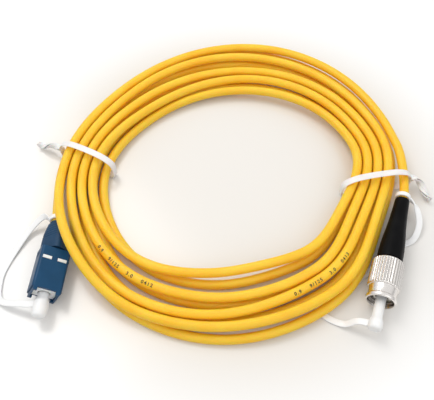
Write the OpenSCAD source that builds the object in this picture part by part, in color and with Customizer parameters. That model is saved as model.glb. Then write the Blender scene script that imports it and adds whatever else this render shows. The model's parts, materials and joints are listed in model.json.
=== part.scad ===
// Simplex fiber optic patch cord, wound into a flat coil and held by two ties.
// One end has a push-pull plug with a square grip, the other a threaded plug with a knurled nut.
// X is right, Y is away, Z is up; the origin is the middle of the coil on the table. Millimetres.

/* [Cable] */
// Diameter over the jacket
cable_d = 3; // [2.8:0.05:3.1]
// Diameter of the tight buffer round the fibre
buffer_d = 0.9; // [0.8:0.05:1]
// Diameter of the bare glass fibre
fibre_d = 0.125; // [0.125:0.005:0.15]

/* [Coil] */
// Turns in each of the two layers
layer_turns = 4; // [3:1:5]
// Radius to the outermost turn, averaged round the coil
coil_r = 59; // [58:0.1:65]
// Gap between neighbouring turns at the sides, and between the layers
turn_gap = 0.46; // [0.42:0.01:0.6]
// Extra spacing of the turns at the front and back
fan = 2.27; // [2:0.01:2.6]
// Extra fan at the front, taken from the back
front_fan = 0.29; // [0:0.01:0.5]
// How far the upper turns lie inwards of the lower ones at the front
upper_lean = 1.69; // [1:0.01:2.2]
// How far the upper turns lie outwards of their even places at the left
left_lean = 1.5; // [1:0.05:1.6]
// How much the coil is longer front to back than side to side
oval = 2.2; // [1.6:0.1:2.4]
// How much the coil is drawn out along its diagonal
diagonal = 2; // [1:0.1:2.4]
// How far the coil sits towards the front
front_shift = 0.23; // [0:0.01:0.6]
// How far the turns are pressed in beside the threaded plug
fc_dent = 3.6; // [3.5:0.1:3.9]
// How far the turns are pressed in beside the square plug
sc_dent = 1.2; // [1:0.1:1.6]
// How far the last turn rises to cross over the square plug's boot
crossing_rise = 5.4; // [5.3:0.1:5.9]

/* [Square plug] */
// Width of the grip
sc_width = 9; // [8.8:0.05:9.3]
// Height of the grip
sc_height = 7.4; // [7.3:0.05:7.6]
// Length of the grip without its side prongs
sc_length = 13.4; // [13:0.1:13.8]
// Length of the side prongs
sc_prong = 1.1; // [0.9:0.1:1.6]
// Wall of the grip at its sides
sc_side_wall = 1; // [0.9:0.05:1.05]
// Wall of the grip at top and bottom
sc_top_wall = 0.95; // [0.9:0.05:1]
// Play between the plug frame and the grip, on each side
sc_play = 0.12; // [0.08:0.01:0.16]
// Travel of the grip along the plug
sc_travel = 1.3; // [1:0.1:1.4]
// Length of its bent boot, seen from above
sc_boot_length = 9.8; // [9.5:0.1:10.3]
// Heading of the plug, from straight at the viewer towards the left
sc_heading = 4.5; // [4:0.5:6]
// Roll of the plug, left side up
sc_roll = 28; // [26:1:29]
// Distance of the plug's tail from the coil's outer radius
sc_inset = 4.3; // [3.9:0.05:4.4]

/* [Threaded plug] */
// Diameter of the coupling nut over its knurl
nut_d = 9.8; // [9.6:0.1:10]
// Diameter of the rim at the nut's smooth front
nut_front_d = 9.3; // [9.1:0.05:9.5]
// Length of the nut
nut_length = 13.6; // [13.2:0.1:14]
// Length of the knurl
knurl_length = 9.3; // [8.4:0.1:9.8]
// Number of flutes in the knurl
knurl_flutes = 34; // [24:1:40]
// Nominal diameter of the nut's thread
thread_d = 8; // [7.8:0.05:8]
// Pitch of the nut's thread
thread_pitch = 0.75; // [0.7:0.05:0.8]
// Length of the straight boot
fc_boot_length = 23.5; // [23.4:0.1:24.6]
// Diameter of the boot at the cable
fc_boot_back_d = 4.6; // [4.5:0.1:5]
// Diameter of the boot at the nut
fc_boot_front_d = 7.9; // [7.6:0.1:8]
// Heading of the plug, from straight at the viewer towards the left
fc_heading = 19; // [18:0.5:20]
// Distance of the boot's tail from the coil's outer radius
fc_inset = 3.8; // [3.6:0.05:3.9]

/* [Ferrules] */
// Diameter of the ferrules
ferrule_d = 2.5; // [2.499:0.001:2.501]
// Length of the ferrules
ferrule_length = 10.5; // [10:0.1:10.8]
// How far a ferrule floats back against its spring
ferrule_float = 0.8; // [0.5:0.05:0.9]
// Wire of the ferrule springs
spring_wire = 0.4; // [0.35:0.05:0.45]
// Curls of each ferrule spring
spring_curls = 4; // [3:1:4]

/* [Caps, straps and ties] */
// Outer diameter of the square plug's dust cap, at its sleeve
sc_cap_d = 3.5; // [3.3:0.05:3.6]
// Outer diameter of that cap's head
sc_cap_head_d = 4.5; // [4.3:0.1:4.8]
// Length of the square plug's dust cap
sc_cap_length = 7.4; // [7:0.1:9]
// Outer diameter of the threaded plug's cap, at its sleeve
fc_cap_d = 3.1; // [3:0.05:3.3]
// Outer diameter of that cap's head
fc_cap_head_d = 4.3; // [4:0.1:5]
// Width of the cap straps
strap_width = 2; // [1.6:0.1:2.2]
// Thickness of the cap straps
strap_thick = 0.6; // [0.5:0.05:0.7]
// Width of the ties
tie_width = 2.2; // [1.8:0.1:2.6]
// Thickness of the ties
tie_thick = 0.7; // [0.7:0.05:0.75]
// Diameter of the steel wire in the ties
tie_wire_d = 0.4; // [0.35:0.05:0.45]
// Length of the ties' twisted tails
tie_tail = 9; // [7:0.5:12]

/* [Hidden] */

$fn = 48;
fit = 0.02;        // running fit of the small turned parts
joint_gap = 0.1;   // gap between faces that meet at rest
soft_gap = 0.2;    // gap between soft pieces and what carries them

// ---- Helpers ----

function unit(v) = v / norm(v);
function smooth(x) = let(c = min(1, max(0, x))) c * c * (3 - 2 * c);
// A smooth hill of height 1 at x = 0 that ends at x = +-half
function hill(x, half) = (1 + cos(180 * min(1, abs(x) / half))) / 2;
// An angle brought between -180 and 180
function turned(a) = a - 360 * floor((a + 180) / 360);
function bezier(a, b, c, d, t) =
    pow(1 - t, 3) * a + 3 * pow(1 - t, 2) * t * b + 3 * (1 - t) * t * t * c + t * t * t * d;
function course(path, i) = unit(path[min(i + 1, len(path) - 1)] - path[max(i - 1, 0)]);
function level_side(dir) = unit(cross(dir, [0, 0, 1]));

// Rings round a path; each lies across it and starts level at its right-hand side.
function rings_along(path, radius, sides, start = 0) = [
    for (i = [0 : len(path) - 1])
        let(dir = course(path, i), side = level_side(dir), top = cross(side, dir))
        [for (k = [0 : sides - 1])
            let(a = start + 360 * k / sides)
            path[i] + radius * (cos(a) * side + sin(a) * top)]];

// Closed solid through rings of equal count, capped at both ends.
module skin(rings) {
    n = len(rings[0]);
    last = (len(rings) - 1) * n;
    walls = [for (i = [0 : len(rings) - 2], k = [0 : n - 1])
        let(a = i * n + k, b = i * n + (k + 1) % n)
        each [[a, b, a + n], [b, b + n, a + n]]];
    caps = [for (k = [1 : n - 2]) each [[0, k + 1, k], [last, last + k, last + k + 1]]];
    polyhedron(points = [for (r = rings) each r], faces = concat(walls, caps));
}

// The same with a passage through it, whose rings have as many points.
module hollow_skin(outer, inner) {
    n = len(outer[0]);
    count = n * len(outer);
    last = count - n;
    walls = [for (i = [0 : len(outer) - 2], k = [0 : n - 1])
        let(a = i * n + k, b = i * n + (k + 1) % n, c = a + count, d = b + count)
        each [[a, b, a + n], [b, b + n, a + n], [c, c + n, d], [d, c + n, d + n]]];
    ends = [for (k = [0 : n - 1])
        let(a = k, b = (k + 1) % n, c = a + count, d = b + count)
        each [[b, a, c], [b, c, d],
            [last + a, last + b, last + c], [last + c, last + b, last + d]]];
    polyhedron(points = [for (r = concat(outer, inner)) each r], faces = concat(walls, ends));
}

module tube(outer, inner, from, to) {
    translate([0, 0, from]) difference() {
        cylinder(d = outer, h = to - from);
        translate([0, 0, -1]) cylinder(d = inner, h = to - from + 2);
    }
}

// Rectangle with round corners.
module round_rect(w, h, r) {
    square([w - 2 * r, h], center = true);
    square([w, h - 2 * r], center = true);
    for (x = [-1, 1], y = [-1, 1])
        translate([x * (w / 2 - r), y * (h / 2 - r)]) circle(r = r, $fn = 32);
}

module round_bar(w, h, r, from, to) {
    translate([0, 0, from]) linear_extrude(to - from) round_rect(w, h, r);
}

function spring_path(from, to) = let(count = 8 * spring_curls) [
    for (i = [0 : count])
        [spring_r * cos(45 * i), spring_r * sin(45 * i), from + (to - from) * i / count]];

module spring(from, to) {
    inset = spring_wire / 2 + joint_gap;
    skin(rings_along(spring_path(from + inset, to - inset), spring_wire / 2, 6));
}

// ---- Coil ----

pitch_side = cable_d + turn_gap;
layer_step = cable_d + turn_gap - 0.01;
coil_floor = cable_d / 2 * cos(30);   // a six-sided tube lies on its flat side
first_turn = 0.034;
rings_per_turn = 24;
coil_rings = rings_per_turn * 2 * layer_turns + 10;
last_turn = first_turn + coil_rings / rings_per_turn;
turn_back = layer_turns + 0.25;       // where the spiral reverses and climbs a layer
turn_back_half = 0.2;
climb_half = 0.25;

left_tie_at = 172;
right_tie_at = -4;
left_lift_half = 36;
left_lean_at = -168;
left_lean_half = 66;
fc_dent_at = -20;
fc_dent_half = 36;
sc_dent_at = -157;
sc_dent_half = 34;
crossing_at = 2 * layer_turns - 0.08;
crossing_half = 0.095;
tie_floor = 0.1;
tie_play = 0.25;
tie_lift = tie_floor + tie_thick + 0.2;   // the turns lift where the ties pass under them

// Lift of the turns over the left tie, and over the right tie and the strap beside it.
function lift(a) = let(b = turned(a)) tie_lift *
    (hill(turned(a - left_tie_at), left_lift_half)
    + smooth((b + 100) / 30) * (1 - smooth((b - 5) / 30)));

// Turns in from the outermost one, after t turns of cable.
function depth_in(t) = let(d = abs(t - turn_back))
    turn_back - (d < turn_back_half ? d * d / (2 * turn_back_half) + turn_back_half / 2 : d);
function upper(t) = smooth((t - turn_back + climb_half) / (2 * climb_half));
function outline_r(a) = coil_r - front_shift * sin(a) - oval * cos(2 * a) + diagonal * sin(2 * a)
    - fc_dent * hill(turned(a - fc_dent_at), fc_dent_half)
    - sc_dent * hill(turned(a - sc_dent_at), sc_dent_half);
function pitch(a) = pitch_side + pow(sin(a), 2) * (fan - front_fan * sin(a));
// Wander of the turns from even spacing, where they are spread.
function wander(t, a) = (pitch(a) - pitch_side)
    * (0.215 * sin(945 * t + 124) + 0.46 * sin(254.5 * t + 86));
// Outward shift of the upper turns: inwards at the front, outwards at the left.
function lean(a) = left_lean * hill(turned(a - left_lean_at), left_lean_half)
    - upper_lean * pow(sin(a), 2) * (1 - sin(a)) / 2;
function coil_at(t) =
    let(a = 180 - 360 * t,
        r = outline_r(a) - depth_in(t) * pitch(a) + upper(t) * lean(a) + wander(t, a),
        z = coil_floor + layer_step * upper(t) + lift(a)
            + crossing_rise * hill(t - crossing_at, crossing_half))
    [r * cos(a), r * sin(a), z];
function coil_course(t) = unit(coil_at(t + 0.002) - coil_at(t - 0.002));

coil_turns = [for (i = [0 : coil_rings]) coil_at(first_turn + i / rings_per_turn)];
coil_start = coil_turns[0] - cable_d * coil_course(first_turn);
coil_end = coil_turns[coil_rings] + cable_d * coil_course(last_turn);
coil_path = concat([coil_start], coil_turns, [coil_end]);
coil_length = let(p = coil_path)
    [for (i = 0, s = 0; i < len(p); i = i + 1, s = s + (i < len(p) ? norm(p[i] - p[i - 1]) : 0)) s];
least_gap = min([for (i = [0 : coil_rings], j = [i + 12 : 1 : coil_rings])
    norm(coil_turns[i] - coil_turns[j])]) - cable_d;
echo(least_gap_of_the_coil_to_itself = least_gap);
echo(length_of_the_coil = coil_length[len(coil_length) - 1]);

module cable_coil() {
    color("gold") skin(rings_along(coil_path, cable_d / 2, 6));
}

// ---- Where the plugs lie ----
// In a plug's own frame z runs forward to its tip, x is its width and y its height.

sc_forward = [-sin(sc_heading), -cos(sc_heading), 0];
sc_edge_r = 1;
sc_axis_z = (sc_width / 2 - sc_edge_r) * sin(sc_roll) + (sc_height / 2 - sc_edge_r) * cos(sc_roll)
    + sc_edge_r;
sc_rear_y = -29.9;
sc_at = [sc_inset - coil_r, sc_rear_y, sc_axis_z];
fc_forward = [-sin(fc_heading), -cos(fc_heading), 0];
fc_rear_y = -10.5;
fc_at = [coil_r - fc_inset, fc_rear_y, nut_d / 2];

module place_sc() {
    translate(sc_at) rotate([0, 0, -sc_heading]) rotate([90, 0, 0]) rotate([0, 0, -sc_roll])
        children();
}
module place_fc() {
    translate(fc_at) rotate([0, 0, -fc_heading]) rotate([90, 0, 0]) children();
}

// ---- Square plug: sizes along its axis ----

sc_tip = sc_length + sc_prong;
sc_frame_w = sc_width - 2 * sc_side_wall - 2 * sc_play;
sc_frame_h = sc_height - 2 * sc_top_wall - 2 * sc_play;
sc_frame_back = 0.3;
sc_frame_front = sc_length + 0.2;
sc_ferrule_back = 6.4;
sc_flange_front = 8;
sc_ring_front = 1.5;
sc_ring_back = -0.6;
sc_neck_back = -4.1;
sc_socket_back = 9.4;
sc_socket_d = 3.8;
flange_d = 4;
flange_face = 0.6;   // how far the flange reaches back behind the ferrule
flange_tail_d = 1.7;
frame_bore_d = 4.4;
ferrule_bore_d = ferrule_d + 0.3;
spring_r = 1.5;
neck_d = 3.5;
neck_bore_d = 2.6;
yarn_d = neck_d + 0.4;
sleeve_bore_d = yarn_d + 2 * fit;
sleeve_d = sleeve_bore_d + 0.5;
boot_bore_d = sleeve_d + 0.1;
fibre_grip = 0.9;    // how far the bare fibre reaches back into the buffer
bar_at = 3.65;
bar_x = 2.25;
bar_w = 2.7;
bar_length = 0.95;
bar_sink = 0.15;
bar_proud = 0.21;

// Middle line of the bent boot and of the cable in it, from the neck to the boot's end.
sc_neck_end = sc_at + (sc_neck_back - 0.3) * sc_forward;
sc_boot_end = [sc_at.x - 0.7, sc_at.y + sc_boot_length, 4.8];
// Sections of the boot: place along that line, width, height, and how square (0.5) or round (1).
sc_boot_sections = [[0.03, 8.2, 6.6, 0.5], [0.2, 8.2, 6.6, 0.5], [0.45, 8.1, 6.2, 0.55],
    [0.7, 7.7, 5.6, 0.65], [0.9, 6.5, 5.1, 0.85], [1, 5.6, 4.7, 1]];
sc_tail_d = 4;
sc_boot_end_course = unit([-0.1, 1, -0.04]);
function sc_boot_line(t) = bezier(sc_at, sc_at - 4 * sc_forward,
    sc_boot_end - 3.5 * sc_boot_end_course, sc_boot_end, t);
sc_tail_length = 1;
sc_tail_end = sc_boot_end + sc_tail_length * sc_boot_end_course;

// ---- Cable leads ----

function lead_bend(a, da, b, db, reach, steps) = [
    for (i = [0 : steps]) bezier(a, a + reach * da, b - reach * db, b, i / steps)];

sc_line_in_boot = concat(
    [sc_neck_end - 0.3 * sc_forward, sc_neck_end - 1.2 * sc_forward],
    [for (t = [0.72, 0.86, 1]) sc_boot_line(t)]);
sc_lead_path = concat(
    sc_line_in_boot,
    lead_bend(sc_tail_end, sc_boot_end_course, coil_start - cable_d * coil_course(first_turn),
        coil_course(first_turn), 7, 4),
    [coil_start]);

module cable_lead_sc() {
    color("gold") skin(rings_along(sc_lead_path, cable_d / 2, 8, 22.5));
}

fc_jacket_end = 14.8;
fc_lead_path = concat(
    [coil_end, coil_end + cable_d * coil_course(last_turn)],
    [for (i = [1 : 4]) bezier(coil_end + cable_d * coil_course(last_turn),
        coil_end + (cable_d + 6) * coil_course(last_turn),
        fc_at - 5 * fc_forward, fc_at - 3 * fc_forward, i / 4)],
    [fc_at + 7 * fc_forward, fc_at + fc_jacket_end * fc_forward]);

module cable_lead_fc() {
    color("gold") skin(rings_along(fc_lead_path, cable_d / 2, 8, 22.5));
}

// ---- Square plug: pieces ----

module sc_grip() {
    groove = 0.25;
    mouth = 5.6;      // opening between the prongs
    shoulder = 0.5;   // the prongs stand in from the sides
    color("steelblue") place_sc() difference() {
        round_bar(sc_width, sc_height, sc_edge_r, 0, sc_tip);
        translate([0, 0, -1]) linear_extrude(sc_tip + 2)
            square([sc_width - 2 * sc_side_wall, sc_height - 2 * sc_top_wall], center = true);
        translate([0, 0, sc_length + sc_prong / 2 + 0.5])
            cube([mouth, sc_height + 1, sc_prong + 1], center = true);
        for (x = [-1, 1])
            translate([x * sc_width / 2, 0, sc_tip])
                cube([2 * shoulder, sc_height + 1, 2 * sc_prong], center = true);
        for (z = [1 : 0.7 : 2.5], x = [-1, 1])
            translate([x * sc_width / 2, 0, z]) cube([2 * groove, 4.6, 0.35], center = true);
        for (x = [-1, 1])
            translate([x * bar_x, sc_height / 2, bar_at])
                cube([bar_w + joint_gap, 2 * bar_sink, bar_length + joint_gap], center = true);
    }
}

module sc_position_bars() {
    color("white") place_sc()
        for (x = [-1, 1])
            translate([x * bar_x - bar_w / 2, sc_height / 2 - bar_sink, bar_at - bar_length / 2])
                cube([bar_w, bar_sink + bar_proud, bar_length]);
}

module sc_plug_frame() {
    color("lightsteelblue") place_sc() difference() {
        round_bar(sc_frame_w, sc_frame_h, 0.3, sc_frame_back, sc_frame_front);
        translate([0, 0, sc_frame_back - 1])
            cylinder(d = frame_bore_d, h = sc_flange_front + joint_gap - sc_frame_back + 1);
        cylinder(d = ferrule_bore_d, h = sc_frame_front + 1);
        translate([0, 0, sc_socket_back]) cylinder(d = sc_socket_d, h = sc_frame_front);
    }
}

module ferrule(back) {
    chamfer = 0.4;
    translate([0, 0, back]) difference() {
        union() {
            cylinder(d = ferrule_d, h = ferrule_length - chamfer);
            translate([0, 0, ferrule_length - chamfer])
                cylinder(d1 = ferrule_d, d2 = ferrule_d - 0.5, h = chamfer);
        }
        translate([0, 0, -1]) cylinder(d = fibre_d + fit, h = ferrule_length + 2);
    }
}

// Its tail stays off the stop ring when the ferrule floats back.
module flange(ring_front, front, ferrule_back) {
    tail_back = ring_front + ferrule_float + joint_gap;
    difference() {
        union() {
            translate([0, 0, ferrule_back - flange_face])
                cylinder(d = flange_d, h = front - ferrule_back + flange_face);
            translate([0, 0, tail_back]) cylinder(d = flange_tail_d, h = front - tail_back);
        }
        translate([0, 0, ferrule_back]) cylinder(d = ferrule_d + fit, h = front);
        translate([0, 0, tail_back - 1]) cylinder(d = buffer_d + 0.1, h = front);
    }
}

// Ring that holds the spring, with the neck the yarn is crimped on.
module stop_ring(neck_back, ring_back, front) {
    difference() {
        union() {
            translate([0, 0, ring_back]) cylinder(d = frame_bore_d - 2 * fit, h = front - ring_back);
            translate([0, 0, neck_back]) cylinder(d = neck_d, h = front - neck_back);
        }
        translate([0, 0, neck_back - 1]) cylinder(d = neck_bore_d, h = front - neck_back + 2);
    }
}

module buffer(from, ferrule_back) {
    difference() {
        translate([0, 0, from]) cylinder(d = buffer_d, h = ferrule_back - joint_gap - from);
        translate([0, 0, ferrule_back - fibre_grip - joint_gap]) cylinder(d = fibre_d + fit, h = 2);
    }
}

module fibre(ferrule_back) {
    translate([0, 0, ferrule_back - fibre_grip])
        cylinder(d = fibre_d, h = ferrule_length + fibre_grip);
}

module sc_ferrule() {
    color("white") place_sc() ferrule(sc_ferrule_back);
}
module sc_ferrule_flange() {
    color("silver") place_sc() flange(sc_ring_front, sc_flange_front, sc_ferrule_back);
}
module sc_spring() {
    color("gray") place_sc() spring(sc_ring_front, sc_ferrule_back - flange_face);
}
module sc_stop_ring() {
    color("silver") place_sc() stop_ring(sc_neck_back, sc_ring_back, sc_ring_front);
}
module sc_crimp_sleeve() {
    color("silver") place_sc()
        tube(sleeve_d, sleeve_bore_d, sc_neck_back, sc_ring_back - joint_gap);
}
module sc_yarn() {
    color("khaki") place_sc()
        tube(yarn_d, neck_d + fit, sc_neck_back + joint_gap, sc_ring_back - 2 * joint_gap);
}
module sc_buffer() {
    color("ivory") place_sc() buffer(sc_neck_back, sc_ferrule_back);
}
module sc_fibre() {
    color("lightcyan") place_sc() fibre(sc_ferrule_back);
}

cap_bore_d = ferrule_d + 2 * fit;
tip_room = 0.4;      // room in a cap ahead of the ferrule's tip

// Boot: its outline goes from the grip's round rectangle to a round tail.
function squircle(a, power) = sign(a) * pow(abs(a), power);
function sc_boot_ring(t, w, h, power, extra = 0) =
    let(p = sc_boot_line(t) + extra * sc_boot_end_course,
        dir = t == 0 ? -sc_forward : unit(sc_boot_line(min(1, t + 0.01)) - sc_boot_line(t - 0.01)),
        flat = level_side(dir), rise = cross(flat, dir),
        side = cos(sc_roll) * flat + sin(sc_roll) * rise,
        top = cross(side, dir))
    [for (k = [0 : 19]) let(a = 18 * k)
        p + w / 2 * squircle(cos(a), power) * side + h / 2 * squircle(sin(a), power) * top];

module sc_boot() {
    color("midnightblue") difference() {
        skin([for (s = sc_boot_sections) sc_boot_ring(s[0], s[1], s[2], s[3]),
            sc_boot_ring(1, sc_tail_d, sc_tail_d, 1, 0.3),
            sc_boot_ring(1, sc_tail_d, sc_tail_d, 1, sc_tail_length)]);
        place_sc() translate([0, 0, sc_neck_back - 0.4]) cylinder(d = boot_bore_d, h = 5);
        skin(rings_along(concat([sc_neck_end + 0.6 * sc_forward], sc_line_in_boot,
            [sc_tail_end + sc_boot_end_course]), cable_d / 2 + soft_gap, 12));
    }
}

// Dust cap: a sleeve over the ferrule with a thicker, rounded head.
module dust_cap(sleeve_d, head_d, open_z, head_z, end_z, ferrule_tip) {
    round_end = 0.7;
    difference() {
        rotate_extrude() {
            translate([0, open_z]) square([sleeve_d / 2, head_z - open_z + 0.1]);
            translate([0, head_z]) square([head_d / 2, end_z - round_end - head_z]);
            translate([0, head_z]) square([head_d / 2 - round_end, end_z - head_z]);
            translate([head_d / 2 - round_end, end_z - round_end]) intersection() {
                circle(r = round_end);
                square(round_end);
            }
        }
        translate([0, 0, open_z - 1]) cylinder(d = cap_bore_d, h = ferrule_tip + tip_room - open_z + 1);
    }
}

sc_cap_neck = 2.2;

module sc_dust_cap() {
    open_z = sc_frame_front + joint_gap;
    color("whitesmoke") place_sc()
        dust_cap(sc_cap_d, sc_cap_head_d, open_z, open_z + sc_cap_neck, open_z + sc_cap_length,
            sc_ferrule_back + ferrule_length);
}

// ---- Threaded plug: sizes along its axis, from the back of its boot ----

nut_back = fc_boot_length + 0.6;
nut_tip = nut_back + nut_length;
nut_lip = 1.5;
thread_minor_d = thread_d - 1.0825 * thread_pitch;
collar_d = nut_front_d - 0.8;
fc_body_d = 6;
nut_hole_d = fc_body_d + 0.2;
fc_key_w = 2;
fc_key_h = max(0.1, thread_minor_d / 2 - 0.2 - fc_body_d / 2);
clip_d = fc_body_d + 0.8;
clip_wire = 0.6;
clip_room_d = max(thread_minor_d, clip_d + 0.3);
clip_room = 1.2;
fc_ring_front = nut_back - 2;
fc_ring_back = fc_ring_front - 2;
fc_neck_back = fc_jacket_end + 0.4;
fc_frame_back = fc_ring_back;
fc_frame_front = nut_tip - 1.6;
fc_ferrule_back = nut_tip - 0.5 - ferrule_length;
fc_flange_front = fc_ferrule_back + 1.6;
fc_socket_back = fc_flange_front + 1.2;

module fc_coupling_nut() {
    flute = 0.22;
    rim = 1.1;
    grooves = 5;
    color("silver") place_fc() difference() {
        union() {
            difference() {
                translate([0, 0, nut_back]) cylinder(d = nut_d, h = knurl_length);
                for (k = [0 : knurl_flutes - 1]) rotate(360 * k / knurl_flutes)
                    translate([nut_d / 2, 0, nut_back + 0.5]) rotate(45)
                        cube([2 * flute, 2 * flute, 2 * (knurl_length - 1)], center = true);
            }
            translate([0, 0, nut_back + 0.4]) cylinder(d = collar_d, h = nut_length - 0.8);
            translate([0, 0, nut_tip - rim]) cylinder(d = nut_front_d, h = rim - 0.4);
            translate([0, 0, nut_tip - 0.4])
                cylinder(d1 = nut_front_d, d2 = nut_front_d - 0.5, h = 0.4);
        }
        translate([0, 0, nut_back - 1]) cylinder(d = nut_hole_d, h = nut_length);
        translate([0, 0, nut_back + nut_lip]) cylinder(d = thread_minor_d, h = nut_length);
        translate([0, 0, nut_back + nut_lip]) cylinder(d = clip_room_d, h = clip_room);
        rotate_extrude() for (i = [0 : grooves - 1])
            translate([0, nut_tip - 0.9 - (i + 0.5) * thread_pitch])
                polygon([[0, thread_pitch / 2], [thread_minor_d / 2, thread_pitch * 0.44],
                    [thread_d / 2, thread_pitch / 16], [thread_d / 2, -thread_pitch / 16],
                    [thread_minor_d / 2, -thread_pitch * 0.44], [0, -thread_pitch / 2]]);
    }
}

module fc_plug_frame() {
    clip_z = nut_back + nut_lip + 0.15;
    color("silver") place_fc() difference() {
        union() {
            translate([0, 0, fc_frame_back]) cylinder(d = fc_body_d, h = fc_frame_front - fc_frame_back);
            translate([0, fc_body_d / 2, fc_frame_front - 1.6])
                cube([fc_key_w, 2 * fc_key_h, 3.2], center = true);
        }
        translate([0, 0, fc_frame_back - 1])
            cylinder(d = frame_bore_d, h = fc_flange_front + joint_gap - fc_frame_back + 1);
        cylinder(d = ferrule_bore_d, h = fc_frame_front + 1);
        translate([0, 0, fc_socket_back]) cylinder(d = fc_cap_d + 0.4, h = fc_frame_front);
        translate([0, 0, clip_z]) tube(fc_body_d + 2, fc_body_d - 0.5, 0, clip_wire + 0.1);
    }
}

module fc_retaining_clip() {
    clip_z = nut_back + nut_lip + 0.2;
    color("silver") place_fc() difference() {
        tube(clip_d, fc_body_d - 0.5 + 2 * fit, clip_z, clip_z + clip_wire);
        translate([0, -clip_d / 2, clip_z]) cube([1.6, clip_d, 4 * clip_wire], center = true);
    }
}

module fc_ferrule() {
    color("white") place_fc() ferrule(fc_ferrule_back);
}
module fc_ferrule_flange() {
    color("silver") place_fc() flange(fc_ring_front, fc_flange_front, fc_ferrule_back);
}
module fc_spring() {
    color("gray") place_fc() spring(fc_ring_front, fc_ferrule_back - flange_face);
}
module fc_stop_ring() {
    color("silver") place_fc() stop_ring(fc_neck_back, fc_ring_back, fc_ring_front);
}
module fc_crimp_sleeve() {
    color("silver") place_fc()
        tube(sleeve_d, sleeve_bore_d, fc_neck_back, fc_ring_back - joint_gap);
}
module fc_yarn() {
    color("khaki") place_fc()
        tube(yarn_d, neck_d + fit, fc_neck_back + joint_gap, fc_ring_back - 2 * joint_gap);
}
module fc_buffer() {
    color("ivory") place_fc() buffer(fc_jacket_end + joint_gap, fc_ferrule_back);
}
module fc_fibre() {
    color("lightcyan") place_fc() fibre(fc_ferrule_back);
}

// The boot flares from the cable to the nut: [share of its length, share of the flare].
fc_boot_flare = [[0, 0], [0.15, 0.09], [0.45, 0.39], [0.65, 0.76], [0.83, 0.94], [1, 1]];

module fc_boot() {
    color("black") place_fc() difference() {
        rotate_extrude() polygon(concat([[0, 0]],
            [for (f = fc_boot_flare)
                [(fc_boot_back_d + f[1] * (fc_boot_front_d - fc_boot_back_d)) / 2,
                    f[0] * fc_boot_length]],
            [[0, fc_boot_length]]));
        translate([0, 0, -1]) cylinder(d = cable_d + soft_gap, h = fc_boot_length + 2);
        translate([0, 0, fc_jacket_end])
            cylinder(d = boot_bore_d, h = fc_boot_length);
        translate([0, 0, fc_ring_back - joint_gap])
            cylinder(d = fc_body_d + joint_gap, h = fc_boot_length);
    }
}

fc_cap_stem = 6;
fc_cap_head = 3;

module fc_dust_cap() {
    head_z = nut_tip + fc_cap_stem;
    color("whitesmoke") place_fc()
        dust_cap(fc_cap_d, fc_cap_head_d, fc_socket_back + 0.3, head_z, head_z + fc_cap_head,
            fc_ferrule_back + ferrule_length);
}

// ---- Cap straps and ties: flat bands ----

// Ring of a flat band: wide runs along its width, dir along the band.
function band_ring(p, dir, wide, width, thick) =
    let(w = unit(wide - (wide * dir) * dir), n = cross(dir, w))
    [for (q = [[1, 1], [1, -1], [0, -1], [-1, -1], [-1, 1], [0, 1]])
        p + width / 2 * q.x * w + thick / 2 * q.y * n];

// Band that starts upright, as it leaves its eyelet, and turns flat within turn_flat points.
module strap(path, turn_flat) {
    skin([for (i = [0 : len(path) - 1])
        let(dir = course(path, i), s = smooth(i / turn_flat))
        band_ring(path[i], dir, (1 - s) * [0, 0, 1] + s * level_side(dir), strap_width, strap_thick)]);
}

// Smooth points through a short list of chosen ones.
function through(points, steps) = let(n = len(points) - 1) [
    for (i = [0 : n - 1], k = [0 : (i == n - 1 ? steps : steps - 1)])
        let(t = k / steps, a = points[max(0, i - 1)], b = points[i], c = points[i + 1],
            d = points[min(n, i + 2)])
        b + t * (c - a) / 2 + t * t * (2 * a - 5 * b + 4 * c - d) / 2
            + t * t * t * (3 * b - a - 3 * c + d) / 2];

eyelet_r = cable_d / 2 + 0.6;   // where a strap joins its eyelet's wall

module eyelet(at, dir) {
    side = level_side(dir);
    translate(at) multmatrix([for (i = [0 : 2])
        [side[i], cross(side, dir)[i], dir[i], 0]])
        tube(cable_d + 1.9, cable_d + 2 * soft_gap, -strap_thick / 2, strap_thick / 2);
}

sc_eyelet_at = sc_tail_end + 1.5 * sc_boot_end_course;
sc_left = level_side(sc_forward);
sc_strap_seat = sc_at + (sc_tip + sc_travel + strap_width / 2 + soft_gap) * sc_forward
    + (sc_cap_head_d / 2 + soft_gap) * sc_left;
function from_sc(x, y, z) = [sc_at.x + x, sc_at.y + y, z];
sc_strap_points = [
    sc_eyelet_at + eyelet_r * level_side(-sc_boot_end_course),
    from_sc(-5.5, 13.6, 4.2),
    from_sc(-10, 10, 1.6),
    from_sc(-14.5, 1, 0.5),
    from_sc(-16.5, -6.5, 0.45),
    from_sc(-15, -14, 1.2),
    sc_strap_seat + 3.5 * sc_left - [0, 0, 0.8],
    sc_strap_seat];

module sc_cap_strap() {
    color("whitesmoke") {
        strap(through(sc_strap_points, 4), 7);
        eyelet(sc_eyelet_at, sc_boot_end_course);
    }
}

fc_eyelet_at = fc_at - 1.3 * fc_forward;
fc_left = level_side(fc_forward);
fc_strap_seat = fc_at + (nut_tip + fc_cap_stem + fc_cap_head / 2) * fc_forward
    + (fc_cap_head_d / 2 + 2 * soft_gap) * fc_left;
function from_fc(x, y, z) = [fc_at.x + x, fc_at.y + y, z];
fc_strap_points = [
    fc_eyelet_at - eyelet_r * fc_left,
    from_fc(4.4, -2.2, 4),
    from_fc(4.9, -7.5, 2),
    from_fc(2, -12.6, 0.6),
    from_fc(-4.5, -15, 0.45),
    from_fc(-8.8, -19.2, 0.45),
    from_fc(-15.5, -25.4, 0.45),
    from_fc(-23.8, -31.9, 0.45),
    from_fc(-29.6, -34.4, 0.45),
    from_fc(-28.2, -38, 0.45),
    from_fc(-23.2, -40.7, 0.8),
    fc_strap_seat + 3 * fc_left - [0, 0, 1.1],
    fc_strap_seat];

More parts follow.
